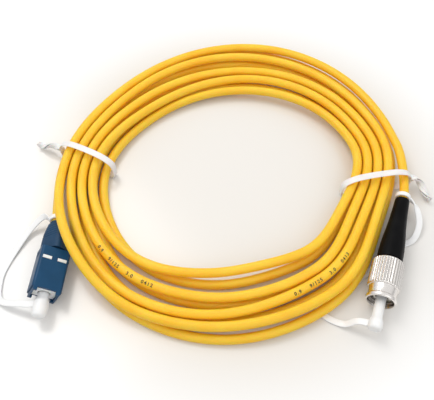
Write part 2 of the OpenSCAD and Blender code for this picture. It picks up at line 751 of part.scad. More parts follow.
module fc_cap_strap() {
    color("whitesmoke") {
        strap(through(fc_strap_points, 3), 5);
        eyelet(fc_eyelet_at, -fc_forward);
    }
}

// A tie goes once round the bundle, in an upright plane that stands at a skew to the radius,
// and its two ends are twisted together outside.
tie_bend = 1.8;
tie_bow = 1.5;       // the band bows up over the turns
tie_roundness = 2.7; // of the bow: 2 is an ellipse, more is nearer to square
tie_top = 2 * coil_floor + layer_step + tie_lift + 2 * tie_play + tie_thick / 2;
tie_bottom = tie_floor + tie_thick / 2;
tie_middle = (tie_top + tie_bottom) / 2;
tie_offset = tie_thick / 2 + 0.1;
tail_steps = 14;
twist_step = 20;

// A tie is [angle round the coil, skew, outer radius, inner radius, tail's direction].
left_tie = [left_tie_at, -18, outline_r(left_tie_at) + 2.5,
    outline_r(left_tie_at) - layer_turns * pitch(left_tie_at) - 2.8, unit([-1, 0.4, 0])];
right_tie = [right_tie_at, 14.4, outline_r(right_tie_at) + 4.4,
    outline_r(right_tie_at) - layer_turns * pitch(right_tie_at) - 3.7, unit([0.75, -1, 0])];

function tie_out(tie) = [cos(tie[0] + tie[1]), sin(tie[0] + tie[1]), 0];
function tie_half(tie) = (tie[2] - tie[3]) / 2 / cos(tie[1]) + tie_thick / 2;
function tie_centre(tie) = (tie[2] + tie[3]) / 2 * [cos(tie[0]), sin(tie[0]), 0];
function corner(u, z, from) = [for (a = [from : 30 : from + 90])
    [u + tie_bend * cos(a), z + tie_bend * sin(a)]];
function tie_loop(half) = concat(
    [[half + 1, tie_middle + tie_offset], [half + 0.25, tie_middle + tie_offset + 0.25],
        [half, tie_middle + tie_offset + 1]],
    [for (a = [18 : 18 : 180]) [half * squircle(cos(a), 2 / tie_roundness),
        tie_middle + (tie_top + tie_bow - tie_middle) * squircle(sin(a), 2 / tie_roundness)]],
    corner(tie_bend - half, tie_bottom + tie_bend, 180),
    corner(half - tie_bend, tie_bottom + tie_bend, 270),
    [[half, tie_middle - tie_offset - 1], [half + 0.25, tie_middle - tie_offset - 0.25],
        [half + 1, tie_middle - tie_offset]]);

// Middle line of the twisted tail, from t = 0 at the loop to t = 1 at the tip.
function tail_at(tie, t) =
    let(root = tie_centre(tie) + (tie_half(tie) + 1) * tie_out(tie) + [0, 0, tie_middle],
        tip = root + tie_tail * tie[4] - [0, 0, tie_middle - 1.5])
    bezier(root, root + tie_tail / 3 * tie_out(tie), tip - tie_tail / 3 * tie[4], tip, t);

// Stations of the band, each [point, direction of its width]; in the tails also the way it runs,
// so that the rings of both ends stand across their shared middle line and stay clear.
function tail_station(tie, k, part) =
    let(t = k / tail_steps, dir = unit(tail_at(tie, t + 0.01) - tail_at(tie, t - 0.01)),
        side = level_side(dir), top = cross(side, dir), a = twist_step * k)
    [tail_at(tie, t) + part * tie_offset * (cos(a) * top - sin(a) * side),
        cos(a) * side + sin(a) * top, -part * dir];
function tie_stations(tie) = concat(
    [for (k = [tail_steps : -1 : 1]) tail_station(tie, k, 1)],
    [for (q = tie_loop(tie_half(tie)))
        [tie_centre(tie) + q.x * tie_out(tie) + [0, 0, q.y], level_side(tie_out(tie))]],
    [for (k = [1 : tail_steps]) tail_station(tie, k, -1)]);

// Rings of the band and of its round core, along a tie.
function tie_rings(tie, core_d) =
    let(stations = tie_stations(tie), path = [for (s = stations) s[0]])
    [for (i = [0 : len(path) - 1])
        let(station = stations[i], dir = len(station) > 2 ? station[2] : course(path, i),
            wide = station[1], w = unit(wide - (wide * dir) * dir), n = cross(dir, w))
        core_d == 0 ? band_ring(path[i], dir, wide, tie_width, tie_thick)
            : [for (k = [0 : 5]) let(a = 30 - 60 * k)
                path[i] + core_d / 2 * (cos(a) * w + sin(a) * n)]];

module tie_band(tie) {
    color("white") hollow_skin(tie_rings(tie, 0), tie_rings(tie, tie_wire_d + 0.04));
}

module left_tie_band() {
    tie_band(left_tie);
}
module right_tie_band() {
    tie_band(right_tie);
}
module left_tie_wire() {
    color("gray") skin(tie_rings(left_tie, tie_wire_d));
}
module right_tie_wire() {
    color("gray") skin(tie_rings(right_tie, tie_wire_d));
}

cable_coil();
cable_lead_sc();
cable_lead_fc();
sc_grip();
sc_position_bars();
sc_plug_frame();
sc_ferrule();
sc_ferrule_flange();
sc_spring();
sc_stop_ring();
sc_crimp_sleeve();
sc_yarn();
sc_buffer();
sc_fibre();
sc_boot();
sc_dust_cap();
sc_cap_strap();
fc_coupling_nut();
fc_plug_frame();
fc_retaining_clip();
fc_ferrule();
fc_ferrule_flange();
fc_spring();
fc_stop_ring();
fc_crimp_sleeve();
fc_yarn();
fc_buffer();
fc_fibre();
fc_boot();
fc_dust_cap();
fc_cap_strap();
left_tie_band();
left_tie_wire();
right_tie_band();
right_tie_wire();
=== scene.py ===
# %% [markdown]
# # A coiled fiber optic patch cord
#
# The cord is one long yellow cable, wound up and tied, with a square push-pull plug at one end
# and a round screw-on plug at the other. Each plug wears a soft dust cap on a strap.
# The fixed frame below already has every hard part in its right place, so this lesson never
# measures twice: new surfaces are worked out in the same millimetres and laid over the frame.

# %% Load the fixed frame
import json
import math

import bmesh
import bpy
import numpy as np
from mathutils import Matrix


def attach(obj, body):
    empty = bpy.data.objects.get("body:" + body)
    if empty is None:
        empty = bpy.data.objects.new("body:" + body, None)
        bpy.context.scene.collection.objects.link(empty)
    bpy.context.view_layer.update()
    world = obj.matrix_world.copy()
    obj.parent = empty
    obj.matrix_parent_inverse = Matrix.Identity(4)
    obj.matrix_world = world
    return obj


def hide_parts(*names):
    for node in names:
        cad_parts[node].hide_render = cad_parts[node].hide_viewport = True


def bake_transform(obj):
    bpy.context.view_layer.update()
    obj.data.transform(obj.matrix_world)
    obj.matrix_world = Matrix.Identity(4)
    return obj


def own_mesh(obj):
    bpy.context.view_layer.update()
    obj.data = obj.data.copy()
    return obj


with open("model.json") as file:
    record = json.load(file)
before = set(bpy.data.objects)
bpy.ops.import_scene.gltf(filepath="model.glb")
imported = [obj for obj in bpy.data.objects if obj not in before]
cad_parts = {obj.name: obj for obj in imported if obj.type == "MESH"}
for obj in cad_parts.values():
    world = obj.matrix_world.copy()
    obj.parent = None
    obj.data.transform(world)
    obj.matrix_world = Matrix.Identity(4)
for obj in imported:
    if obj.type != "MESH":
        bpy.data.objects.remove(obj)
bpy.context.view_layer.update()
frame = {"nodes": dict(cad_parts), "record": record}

MM = 0.001

# %% [markdown]
# Colours should come out as they are written, so the view transform is the plain one.
# The camera looks down from the front at a steep angle, close enough for its perspective to
# make the near turns of the coil look thicker than the far ones. The lens is worked out from
# the render's width and focal length, both in pixels, and the sensor's width in millimetres.

# %% Camera
bpy.context.scene.view_settings.view_transform = "Standard"

CAMERA_ELEVATION = math.radians(56.5)
CAMERA_DISTANCE = 208 * MM
CAMERA_TARGET = np.array([-4.8, -7.1, 0]) * MM
RENDER_WIDTH, FOCAL_LENGTH, SENSOR_WIDTH = 434, 624, 36

looks_along = np.array([0, math.cos(CAMERA_ELEVATION), -math.sin(CAMERA_ELEVATION)])
camera_data = bpy.data.cameras.new("camera")
camera_data.lens = SENSOR_WIDTH * FOCAL_LENGTH / RENDER_WIDTH
camera_data.sensor_width = SENSOR_WIDTH
camera_data.clip_start = 0.005
camera = bpy.data.objects.new("camera", camera_data)
camera.location = CAMERA_TARGET - CAMERA_DISTANCE * looks_along
camera.rotation_euler = (math.pi / 2 - CAMERA_ELEVATION, 0, 0)
bpy.context.scene.collection.objects.link(camera)
bpy.context.scene.camera = camera
print(f"{camera_data.lens:.1f} mm lens, {camera.location.z / MM:.0f} mm above the table")

# %% [markdown]
# Almost every surface here is a grid: rows run along a path and columns run round it.
# One helper turns such a grid of points into a mesh. It can join the last row to the first or
# cap both ends, and it turns the faces outwards by looking at the sign of the volume that
# they enclose.


# %% Grids of points become meshes
def unit(v):
    """Each vector divided by its own length."""
    v = np.asarray(v, float)
    return v / np.linalg.norm(v, axis=-1, keepdims=True)


def grid_faces(rows, columns, close_rows):
    """Corner numbers of the quads of a grid: corner (i, j) is i * columns + j."""
    i, j = np.divmod(np.arange((rows if close_rows else rows - 1) * columns), columns)
    i2, j2 = (i + 1) % rows, (j + 1) % columns
    return np.stack([i * columns + j, i2 * columns + j, i2 * columns + j2, i * columns + j2], 1)


def enclosed_volume(points, faces):
    """Sum over the faces of a . (b x c + c x d) / 6, which is negative for an inside-out skin."""
    a, b, c, d = (points[faces[:, k]] for k in range(4))
    return np.einsum("ij,ij->i", a, np.cross(b, c) + np.cross(c, d)).sum() / 6


def link_piece(mesh, name):
    """Puts a mesh on the stage as an object that stands at the origin, unturned."""
    piece = bpy.data.objects.new(name, mesh)
    bpy.context.scene.collection.objects.link(piece)
    return piece


def merge_and_orient(mesh):
    """Merges points in the same place, then lets every face look outwards."""
    work = bmesh.new()
    work.from_mesh(mesh)
    bmesh.ops.remove_doubles(work, verts=work.verts, dist=1e-7)
    bmesh.ops.recalc_face_normals(work, faces=work.faces)
    work.to_mesh(mesh)
    work.free()


def surface(name, grid, close_rows=False, caps=True, uv=None):
    """Mesh of a grid of points with shape (rows, columns, 3), in millimetres.

    Open ends are closed with one flat face each when caps is set. uv, if given, has the shape
    (rows, columns + 1, 2): one more column than the grid, so that the pattern meets itself at
    the seam."""
    rows, columns = grid.shape[:2]
    points = grid.reshape(-1, 3) * MM
    quads = grid_faces(rows, columns, close_rows)
    ends = []
    if caps and not close_rows:
        ends = [np.arange(columns), (rows - 1) * columns + np.arange(columns)[::-1]]
    turn = enclosed_volume(points, quads) < 0
    faces = [list(f) for f in (quads[:, ::-1] if turn else quads).tolist()]
    mesh = bpy.data.meshes.new(name)
    mesh.from_pydata(points, [], faces + [(e[::-1] if not turn else e).tolist() for e in ends])
    mesh.polygons.foreach_set("use_smooth", np.arange(len(mesh.polygons)) < len(quads))
    if uv is not None:
        i, j = np.divmod(quads[:, 0], columns)
        corners = np.stack([uv[i + a, j + b] for a, b in ((0, 0), (1, 0), (1, 1), (0, 1))], 1)
        if turn:
            corners = corners[:, ::-1]
        flat_uv = np.concatenate([corners.reshape(-1, 2), np.zeros((sum(map(len, ends)), 2))])
        layer = mesh.uv_layers.new(name="UVMap")
        layer.data.foreach_set("uv", flat_uv.astype(np.float32).ravel())
    mesh.validate()
    return link_piece(mesh, name)


# %% [markdown]
# Every finished piece rides on one body of the frame and may stand for solids of the frame,
# which are then hidden.


# %% Enrolling a finished piece
def enrol(piece, body, slot, *nodes):
    """Lets a piece ride on a body and hides the nodes that it stands for. slot is not used."""
    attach(piece, body)
    if nodes:
        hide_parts(*nodes)
    print(piece.name + ":", len(piece.data.polygons), "faces")
    return piece


# %% [markdown]
# ## The cable's route
#
# A real coil like this is wound on itself by hand: the cable goes inwards turn by turn on
# the table, climbs on top of that layer, and comes back outwards. So its middle line has a
# formula. The angle grows with the turns, and the radius is the coil's outline less the
# number of turns in from the outside. The turns lie close together at the sides, where the
# ties hold them, and fan out at the front and back.

# %% The formula of the coil
CABLE_D, COIL_R, TURN_GAP, LAYER_TURNS = 3.0, 59.0, 0.46, 4
FAN, FRONT_FAN = 2.27, 0.29
UPPER_LEAN = 1.69
LEFT_LEAN, LEFT_LEAN_AT, LEFT_LEAN_HALF = 1.5, -168, 66
OVAL, DIAGONAL, FRONT_SHIFT = 2.2, 2.0, 0.23
FC_DENT, FC_DENT_AT, FC_DENT_HALF = 3.6, -20, 36
SC_DENT, SC_DENT_AT, SC_DENT_HALF = 1.2, -157, 34
WANDERS = [(0.215, 945, 124), (0.46, 254.5, 86)]  # share of the fan, degrees a turn, start
TIE_THICK = 0.7
TIE_LIFT = 0.1 + TIE_THICK + 0.2
LEFT_TIE_AT, RIGHT_TIE_AT = 172, -4
LEFT_LIFT_HALF = 36
RIGHT_LIFT_FROM, RIGHT_LIFT_TO, RIGHT_LIFT_FADE = -100, 5, 30
CROSSING_RISE, CROSSING_HALF = 5.4, 0.095
CROSSING_AT = 2 * LAYER_TURNS - 0.08
PITCH_SIDE = CABLE_D + TURN_GAP
LAYER_STEP = CABLE_D + TURN_GAP - 0.01
COIL_FLOOR = CABLE_D / 2 * math.cos(math.radians(30))
STEPS_A_TURN, LAST_STEPS = 24, 10
FIRST_TURN = 0.034
LAST_TURN = FIRST_TURN + (STEPS_A_TURN * 2 * LAYER_TURNS + LAST_STEPS) / STEPS_A_TURN
TURN_BACK, TURN_BACK_HALF = LAYER_TURNS + 0.25, 0.2


def rising(x):
    """Smooth step: 0 below 0, 1 above 1, and 3x^2 - 2x^3 between."""
    x = np.clip(x, 0, 1)
    return x * x * (3 - 2 * x)


def hill(x, half):
    """Half a cosine wave: 1 at x = 0 and 0 from x = half outwards."""
    return (1 + np.cos(np.pi * np.minimum(1, np.abs(x) / half))) / 2


def turned(a):
    """An angle brought between -180 and 180 degrees."""
    return a - 360 * np.floor((a + 180) / 360)


def sin_deg(a):
    """Sine of an angle in degrees."""
    return np.sin(np.radians(a))


def cos_deg(a):
    """Cosine of an angle in degrees."""
    return np.cos(np.radians(a))


def outline_r(a):
    """Radius of the outermost turn at angle a: a circle, drawn out a little along the diagonal
    and pressed in beside the two plugs."""
    return (COIL_R - FRONT_SHIFT * sin_deg(a) - OVAL * cos_deg(2 * a) + DIAGONAL * sin_deg(2 * a)
            - FC_DENT * hill(turned(a - FC_DENT_AT), FC_DENT_HALF)
            - SC_DENT * hill(turned(a - SC_DENT_AT), SC_DENT_HALF))


def turn_pitch(a):
    """Distance between neighbouring turns at angle a: tight at the sides, fanned elsewhere."""
    return PITCH_SIDE + sin_deg(a) ** 2 * (FAN - FRONT_FAN * sin_deg(a))


def turns_in(t):
    """How many turns in from the outermost one the cable is after t turns: it counts up to
    the turning point and down again, with a rounded tip between."""
    d = np.abs(t - TURN_BACK)
    tip = d * d / (2 * TURN_BACK_HALF) + TURN_BACK_HALF / 2
    return TURN_BACK - np.where(d < TURN_BACK_HALF, tip, d)


def lean(a):
    """Outward shift of the upper turns: inwards at the front, outwards at the left."""
    return (LEFT_LEAN * hill(turned(a - LEFT_LEAN_AT), LEFT_LEAN_HALF)
            - UPPER_LEAN * sin_deg(a) ** 2 * (1 - sin_deg(a)) / 2)


def coil_at(t):
    """Middle of the cable after t turns, in millimetres. t may be an array."""
    t = np.asarray(t, float)
    a = 180 - 360 * t
    upper = rising((t - TURN_BACK + 0.25) / 0.5)
    wander = ((turn_pitch(a) - PITCH_SIDE)
              * sum(share * sin_deg(rate * t + start) for share, rate, start in WANDERS))
    r = outline_r(a) - turns_in(t) * turn_pitch(a) + upper * lean(a) + wander
    b = turned(a)
    lift = TIE_LIFT * (hill(turned(a - LEFT_TIE_AT), LEFT_LIFT_HALF)
                       + rising((b - RIGHT_LIFT_FROM) / RIGHT_LIFT_FADE)
                       * (1 - rising((b - RIGHT_LIFT_TO) / RIGHT_LIFT_FADE)))
    z = COIL_FLOOR + LAYER_STEP * upper + lift + CROSSING_RISE * hill(t - CROSSING_AT, CROSSING_HALF)
    return np.stack([r * cos_deg(a), r * sin_deg(a), z], -1)


def coil_course(t):
    """Direction in which the cable runs after t turns."""
    return unit(coil_at(t + 0.002) - coil_at(t - 0.002))


# %% [markdown]
# The two ends of the cable leave the coil for the plugs. A cubic Bezier curve is the natural
# tool for that: it leaves one point in a given direction and arrives at another in a given
# direction, just as a springy cable does.


# %% Where the plugs lie, and the whole middle line
def bezier(a, b, c, d, t):
    """Cubic Bezier curve of four points, at each value of t."""
    a, b, c, d = (np.asarray(p, float) for p in (a, b, c, d))
    t = np.asarray(t, float)[..., None]
    return (1 - t) ** 3 * a + 3 * (1 - t) ** 2 * t * b + 3 * (1 - t) * t * t * c + t ** 3 * d


def turn_about_z(degrees):
    """Matrix that turns points about Z."""
    c, s = cos_deg(degrees), sin_deg(degrees)
    return np.array([[c, -s, 0], [s, c, 0], [0, 0, 1.0]])


LIE_DOWN = np.array([[1.0, 0, 0], [0, 0, -1], [0, 1, 0]])
SC_HEADING, SC_ROLL = 4.5, 28
FC_HEADING = 19
SC_W, SC_H, SC_LENGTH, SC_PRONG, SC_EDGE, SC_NECK = 9.0, 7.4, 13.4, 1.1, 1.0, 4.4
FC_JACKET_END, FC_STRAIGHT = 14.8, 3.0
SC_AT = np.array([4.3 - COIL_R, -29.9, (SC_W / 2 - SC_EDGE) * sin_deg(SC_ROLL)
                  + (SC_H / 2 - SC_EDGE) * cos_deg(SC_ROLL) + SC_EDGE])
SC_FORWARD = np.array([-sin_deg(SC_HEADING), -cos_deg(SC_HEADING), 0])
SC_TURN = turn_about_z(-SC_HEADING) @ LIE_DOWN @ turn_about_z(-SC_ROLL)
NUT_D = 9.8
FC_AT = np.array([COIL_R - 3.8, -10.5, NUT_D / 2])
FC_FORWARD = np.array([-sin_deg(FC_HEADING), -cos_deg(FC_HEADING), 0])
FC_TURN = turn_about_z(-FC_HEADING) @ LIE_DOWN


def at_sc(points):
    """Points of the square plug's own frame (width, height, forward) put where it lies."""
    return np.asarray(points, float) @ SC_TURN.T + SC_AT


def at_fc(points):
    """The same for the round plug."""
    return np.asarray(points, float) @ FC_TURN.T + FC_AT


SC_BOOT_END = np.array([SC_AT[0] - 0.7, SC_AT[1] + 9.8, 4.8])
SC_BOOT_COURSE = unit([-0.1, 1, -0.04])
SC_TAIL = 1.0
SC_TAIL_END = SC_BOOT_END + SC_TAIL * SC_BOOT_COURSE


def sc_boot_line(t):
    """Middle line of the square plug's bent boot."""
    return bezier(SC_AT, SC_AT - 4 * SC_FORWARD, SC_BOOT_END - 3.5 * SC_BOOT_COURSE, SC_BOOT_END, t)


def along(a, b, count):
    """count points on the straight line from a, to just before b."""
    return a + (b - a) * (np.arange(count) / count)[:, None]


coil_start = coil_at(FIRST_TURN) - CABLE_D * coil_course(FIRST_TURN)
coil_end = coil_at(LAST_TURN) + CABLE_D * coil_course(LAST_TURN)
lead_in = coil_start - CABLE_D * coil_course(FIRST_TURN)
lead_out = coil_end + CABLE_D * coil_course(LAST_TURN)
sc_neck = SC_AT - SC_NECK * SC_FORWARD
fc_back, fc_jacket_end = FC_AT - FC_STRAIGHT * FC_FORWARD, FC_AT + FC_JACKET_END * FC_FORWARD
turns = np.linspace(FIRST_TURN, LAST_TURN, 1200)
from_sc_plug = np.concatenate([
    along(sc_neck - 0.3 * SC_FORWARD, sc_neck - 1.2 * SC_FORWARD, 2),
    sc_boot_line(np.linspace(0.62, 1, 9)[:-1]),
    along(SC_BOOT_END, SC_TAIL_END, 6),
    bezier(SC_TAIL_END, SC_TAIL_END + 7 * SC_BOOT_COURSE, lead_in - 7 * coil_course(FIRST_TURN),
           lead_in, np.linspace(0, 1, 30)[:-1]),
    along(lead_in, coil_at(FIRST_TURN), 8)])
to_fc_plug = np.concatenate([
    along(coil_end, lead_out, 4),
    bezier(lead_out, lead_out + 6 * coil_course(LAST_TURN), fc_back - 2 * FC_FORWARD,
           fc_back, np.linspace(0, 1, 24)[:-1]),
    along(fc_back, fc_jacket_end, 18), [fc_jacket_end]])
cable_line = np.concatenate([from_sc_plug, coil_at(turns), to_fc_plug])
run = np.concatenate([[0], np.cumsum(np.linalg.norm(np.diff(cable_line, axis=0), axis=1))])
print(f"the cable is {run[-1] * MM:.3f} m long")

# %% [markdown]
# The jacket is a round tube along that line. Each ring stands across the line and starts on
# its level right-hand side, which keeps the tube free of twist, so a print along its top can
# follow one column of the grid. The UV map measures metres along the cable and turns round it.


# %% The cable
def frames_along(line):
    """Course, level side and top of a path: side = course x up, top = side x course."""
    step = np.empty_like(line)
    step[1:-1] = line[2:] - line[:-2]
    step[0], step[-1] = line[1] - line[0], line[-1] - line[-2]
    course = unit(step)
    side = unit(np.cross(course, [0, 0, 1.0]))
    return course, side, np.cross(side, course)


def ring_grid(line, radius, columns):
    """Points line + radius * (cos v * side + sin v * top) for v round the circle."""
    course, side, top = frames_along(line)
    v = np.linspace(0, 2 * np.pi, columns, endpoint=False)
    radius = np.broadcast_to(np.asarray(radius, float), len(line))[:, None, None]
    return (line[:, None] + radius * (np.cos(v)[None, :, None] * side[:, None]
                                      + np.sin(v)[None, :, None] * top[:, None]))


CABLE_SIDES = 20
cable_uv = np.stack(np.broadcast_arrays(run[:, None] * MM, np.linspace(0, 1, CABLE_SIDES + 1)), -1)
patch_cable = surface("patch_cable", ring_grid(cable_line, CABLE_D / 2, CABLE_SIDES), uv=cable_uv)
enrol(patch_cable, "cord", "jacket", "cable_coil", "cable_lead_sc", "cable_lead_fc")

# %% [markdown]
# Cable makers print a running legend on the jacket. Flat letters become a print by bending:
# the reading direction is laid along the cable's run, and the height of the letters is
# wrapped round it. The letters are first cut into narrow strips, so that they can bend.


# %% Numerals printed on the jacket
LETTER_HEIGHT, LETTER_SPACING, LETTER_WEIGHT = 1.5, 1.35, 0.035
STRIP, INK_LIFT = 0.12, 0.015


def flat_letters(text):
    """Mesh of a line of text in millimetres, cut into narrow strips along its length."""
    curve = bpy.data.curves.new("letters", "FONT")
    curve.body = text
    curve.size = LETTER_HEIGHT
    curve.space_character = LETTER_SPACING
    curve.offset = LETTER_WEIGHT
    typed = bpy.data.objects.new("letters", curve)
    bpy.context.scene.collection.objects.link(typed)
    bpy.context.view_layer.update()
    evaluated = typed.evaluated_get(bpy.context.evaluated_depsgraph_get())
    mesh = bpy.data.meshes.new_from_object(evaluated)
    bpy.data.objects.remove(typed)
    work = bmesh.new()
    work.from_mesh(mesh)
    bmesh.ops.triangulate(work, faces=work.faces)
    for cut in np.arange(-0.3 * LETTER_HEIGHT, LETTER_HEIGHT, STRIP):
        bmesh.ops.bisect_plane(work, geom=list(work.verts) + list(work.edges) + list(work.faces),
                               plane_co=(0, cut, 0), plane_no=(0, 1, 0))
    work.to_mesh(mesh)
    work.free()
    return mesh


def run_at(turns_done):
    """Run of the cable where that many turns are wound."""
    return np.interp(turns_done, turns, run[len(from_sc_plug):][:len(turns)])


def print_on_cable(name, text, start):
    """Wraps letters round the cable back from the run start, turned to face the viewer."""
    mesh = flat_letters(text)
    points = np.array([v.co for v in mesh.vertices])
    at = start - points[:, 0]
    course, side, top = frames_along(cable_line)
    line, side, top = (np.stack([np.interp(at, run, m[:, k]) for k in range(3)], 1)
                       for m in (cable_line, side, top))
    mid = np.argmin(np.abs(points[:, 0] - points[:, 0].mean()))
    faces_viewer = np.arctan2(-top[mid] @ looks_along, -side[mid] @ looks_along)
    angle = (faces_viewer - (points[:, 1] - LETTER_HEIGHT / 3) / (CABLE_D / 2))[:, None]
    placed = line + (CABLE_D / 2 + INK_LIFT) * (np.cos(angle) * side + np.sin(angle) * top)
    mesh.vertices.foreach_set("co", (placed * MM).astype(np.float32).ravel())
    mesh.update()
    return enrol(link_piece(mesh, name), "cord", "jacket")


legends = [
    print_on_cable("jacket_legend_left", "0.9    9/125    3.0    0412", run_at(5.905)),
    print_on_cable("jacket_legend_right", "0.9    9/125    3.0    0413", run_at(6.69)),
]

# %% [markdown]
# ## Turned pieces
#
# The dust caps, the round boot and the nut are turned shapes. Each starts as a handful of
# corners in the plane of its axis, as (place along the axis, radius). A corner can be
# rounded with a short quadratic Bezier arc before the profile is spun.


# %% Profiles and spinning
def rounded_profile(corners, steps=5):
    """Profile through corners (z, r, rounding), with arcs that start and end rounding away.

    Each arc is the quadratic Bezier curve of its two ends and the corner itself."""
    corners = np.asarray(corners, float)
    points = corners[:, :2]
    profile = []
    for k, (z, r, rounding) in enumerate(corners):
        if rounding == 0 or k in (0, len(corners) - 1):
            profile.append(points[k])
            continue
        back, ahead = points[k - 1] - points[k], points[k + 1] - points[k]
        a = points[k] + unit(back) * min(rounding, 0.45 * np.linalg.norm(back))
        b = points[k] + unit(ahead) * min(rounding, 0.45 * np.linalg.norm(ahead))
        for t in np.linspace(0, 1, steps):
            profile.append((1 - t) ** 2 * a + 2 * (1 - t) * t * points[k] + t * t * b)
    return np.array(profile)


def spin(profile, columns, radius_of=None):
    """Grid of points (r cos v, r sin v, z) for each (z, r) of a profile.

    radius_of(z, v, r), if given, changes the radius from place to place."""
    v = np.linspace(0, 2 * np.pi, columns, endpoint=False)
    z, r = profile[:, 0, None], profile[:, 1, None] * np.ones(columns)
    if radius_of:
        r = radius_of(z, v[None], r)
    return np.stack([r * np.cos(v), r * np.sin(v), np.broadcast_to(z, r.shape)], -1)


def turned_piece(name, profile, place, columns=64, ring=False, radius_of=None):
    """A spun profile put where its plug lies: a ring if the profile comes back to its start,
    or else a body that closes at two poles on the axis. Weighted normals shade each wide
    face flat and leave the turn to the narrow faces of its edges."""
    piece = surface(name, place(spin(profile, columns, radius_of)), close_rows=ring, caps=False)
    merge_and_orient(piece.data)
    piece.modifiers.new("weighted normals", "WEIGHTED_NORMAL")
    return piece


# %% [markdown]
# A dust cap is a soft sleeve over the white ferrule, with a thicker blunt end to pull it by.
# Its profile starts on the axis at the bottom of the bore, runs back along the bore, round
# the open rim, forward outside, and ends on the axis at the blunt end.

# %% Dust caps
FERRULE_D, FERRULE_LENGTH = 2.5, 10.5
CAP_BORE_R, CAP_ROOM = FERRULE_D / 2 + 0.02, 0.4
SC_FERRULE_BACK = 6.4
SC_FERRULE_TIP = SC_FERRULE_BACK + FERRULE_LENGTH
SC_CAP_FROM, SC_CAP_TO = SC_LENGTH + 0.3, SC_LENGTH + 7.7
SC_HEAD_FROM = SC_CAP_FROM + 2.2
sc_cap_profile = rounded_profile([
    (SC_FERRULE_TIP + CAP_ROOM, 0, 0), (SC_FERRULE_TIP + CAP_ROOM, CAP_BORE_R, 0),
    (SC_CAP_FROM, CAP_BORE_R, 0.1), (SC_CAP_FROM, 1.75, 0.1),
    (SC_HEAD_FROM - 0.5, 1.72, 0.4), (SC_HEAD_FROM + 0.2, 2.15, 0.5),
    (SC_CAP_TO - 1.6, 2.25, 1.0), (SC_CAP_TO, 1.85, 1.2), (SC_CAP_TO, 0, 0)])
sc_cap = turned_piece("sc_dust_cap_shell", sc_cap_profile, at_sc)
enrol(sc_cap, "sc_cap", "cap_plastic", "sc_dust_cap")

FC_BOOT_LENGTH = 23.5
NUT_BACK = FC_BOOT_LENGTH + 0.6
NUT_LENGTH = 13.6
NUT_TIP = NUT_BACK + NUT_LENGTH
FC_FERRULE_TIP = NUT_TIP - 0.5
FC_FERRULE_BACK = FC_FERRULE_TIP - FERRULE_LENGTH
FC_CAP_FROM = FC_FERRULE_BACK + 3.1
FC_HEAD_FROM, FC_CAP_TO = NUT_TIP + 6.0, NUT_TIP + 9.0
fc_cap_profile = rounded_profile([
    (FC_FERRULE_TIP + CAP_ROOM, 0, 0), (FC_FERRULE_TIP + CAP_ROOM, CAP_BORE_R, 0),
    (FC_CAP_FROM, CAP_BORE_R, 0.05), (FC_CAP_FROM, 1.54, 0.1),
    (FC_HEAD_FROM - 1.0, 1.54, 0.8), (FC_HEAD_FROM + 0.2, 2.05, 0.5),
    (FC_CAP_TO - 0.8, 2.14, 0.7), (FC_CAP_TO, 1.8, 0.7), (FC_CAP_TO, 0, 0)])
fc_cap = turned_piece("fc_dust_cap_shell", fc_cap_profile, at_fc)
enrol(fc_cap, "fc_cap", "cap_plastic", "fc_dust_cap")

# %% [markdown]
# The round boot flares from the cable to the nut in one smooth S. Its bore has three steps:
# round the cable, round the crimp sleeve, and round the back of the plug's body.

# %% Boot of the round plug
FC_BOOT_BACK_R, FC_BOOT_FRONT_R = 4.6 / 2, 7.9 / 2
CABLE_BORE_R, SLEEVE_BORE_R, BODY_BORE_R = 1.6, 2.27, 3.05
BODY_BACK = NUT_BACK - 4.1
SKIN_FROM, SKIN_TO, BORE_SEAM = 1.0, FC_BOOT_LENGTH - 0.8, 2.0
FLARE_AT = [0, 0.15, 0.45, 0.65, 0.83, 1]
FLARE_SHARE = [0, 0.09, 0.39, 0.76, 0.94, 1]


def flare(z):
    """Outer radius of the boot at z: through the given shares of the flare, softened by
    averaging over 4 mm."""
    window = np.linspace(-2, 2, 9)
    spread = np.interp((z[:, None] + window) / FC_BOOT_LENGTH, FLARE_AT, FLARE_SHARE)
    return FC_BOOT_BACK_R + spread.mean(1) * (FC_BOOT_FRONT_R - FC_BOOT_BACK_R)


skin_z = np.linspace(SKIN_FROM, SKIN_TO, 40)
skin_r = flare(skin_z)
boot_back = rounded_profile([
    (BORE_SEAM, CABLE_BORE_R, 0), (0, CABLE_BORE_R, 0.25), (0, FC_BOOT_BACK_R, 0.6),
    (SKIN_FROM, skin_r[0], 0)])
boot_front = rounded_profile([
    (SKIN_TO, skin_r[-1], 0), (FC_BOOT_LENGTH, FC_BOOT_FRONT_R, 0.35),
    (FC_BOOT_LENGTH, BODY_BORE_R, 0.1), (BODY_BACK, BODY_BORE_R, 0), (BODY_BACK, SLEEVE_BORE_R, 0),
    (FC_JACKET_END, SLEEVE_BORE_R, 0), (FC_JACKET_END, CABLE_BORE_R, 0), (BORE_SEAM, CABLE_BORE_R, 0)])
fc_boot_profile = np.concatenate([boot_back[:-1], np.stack([skin_z, skin_r], 1), boot_front[1:-1]])
fc_boot = turned_piece("fc_boot_skin", fc_boot_profile, at_fc, columns=72, ring=True)
enrol(fc_boot, "cord", "black_rubber", "fc_boot")

# %% [markdown]
# The nut's radius is a function of both the angle and the place along the axis. Outside, the
# knurl's 34 flutes are a triangle wave in the angle that fades at the knurl's ends. Inside,
# the thread is a triangle wave in z / pitch less the angle's share of a turn, which makes
# it a true helix.

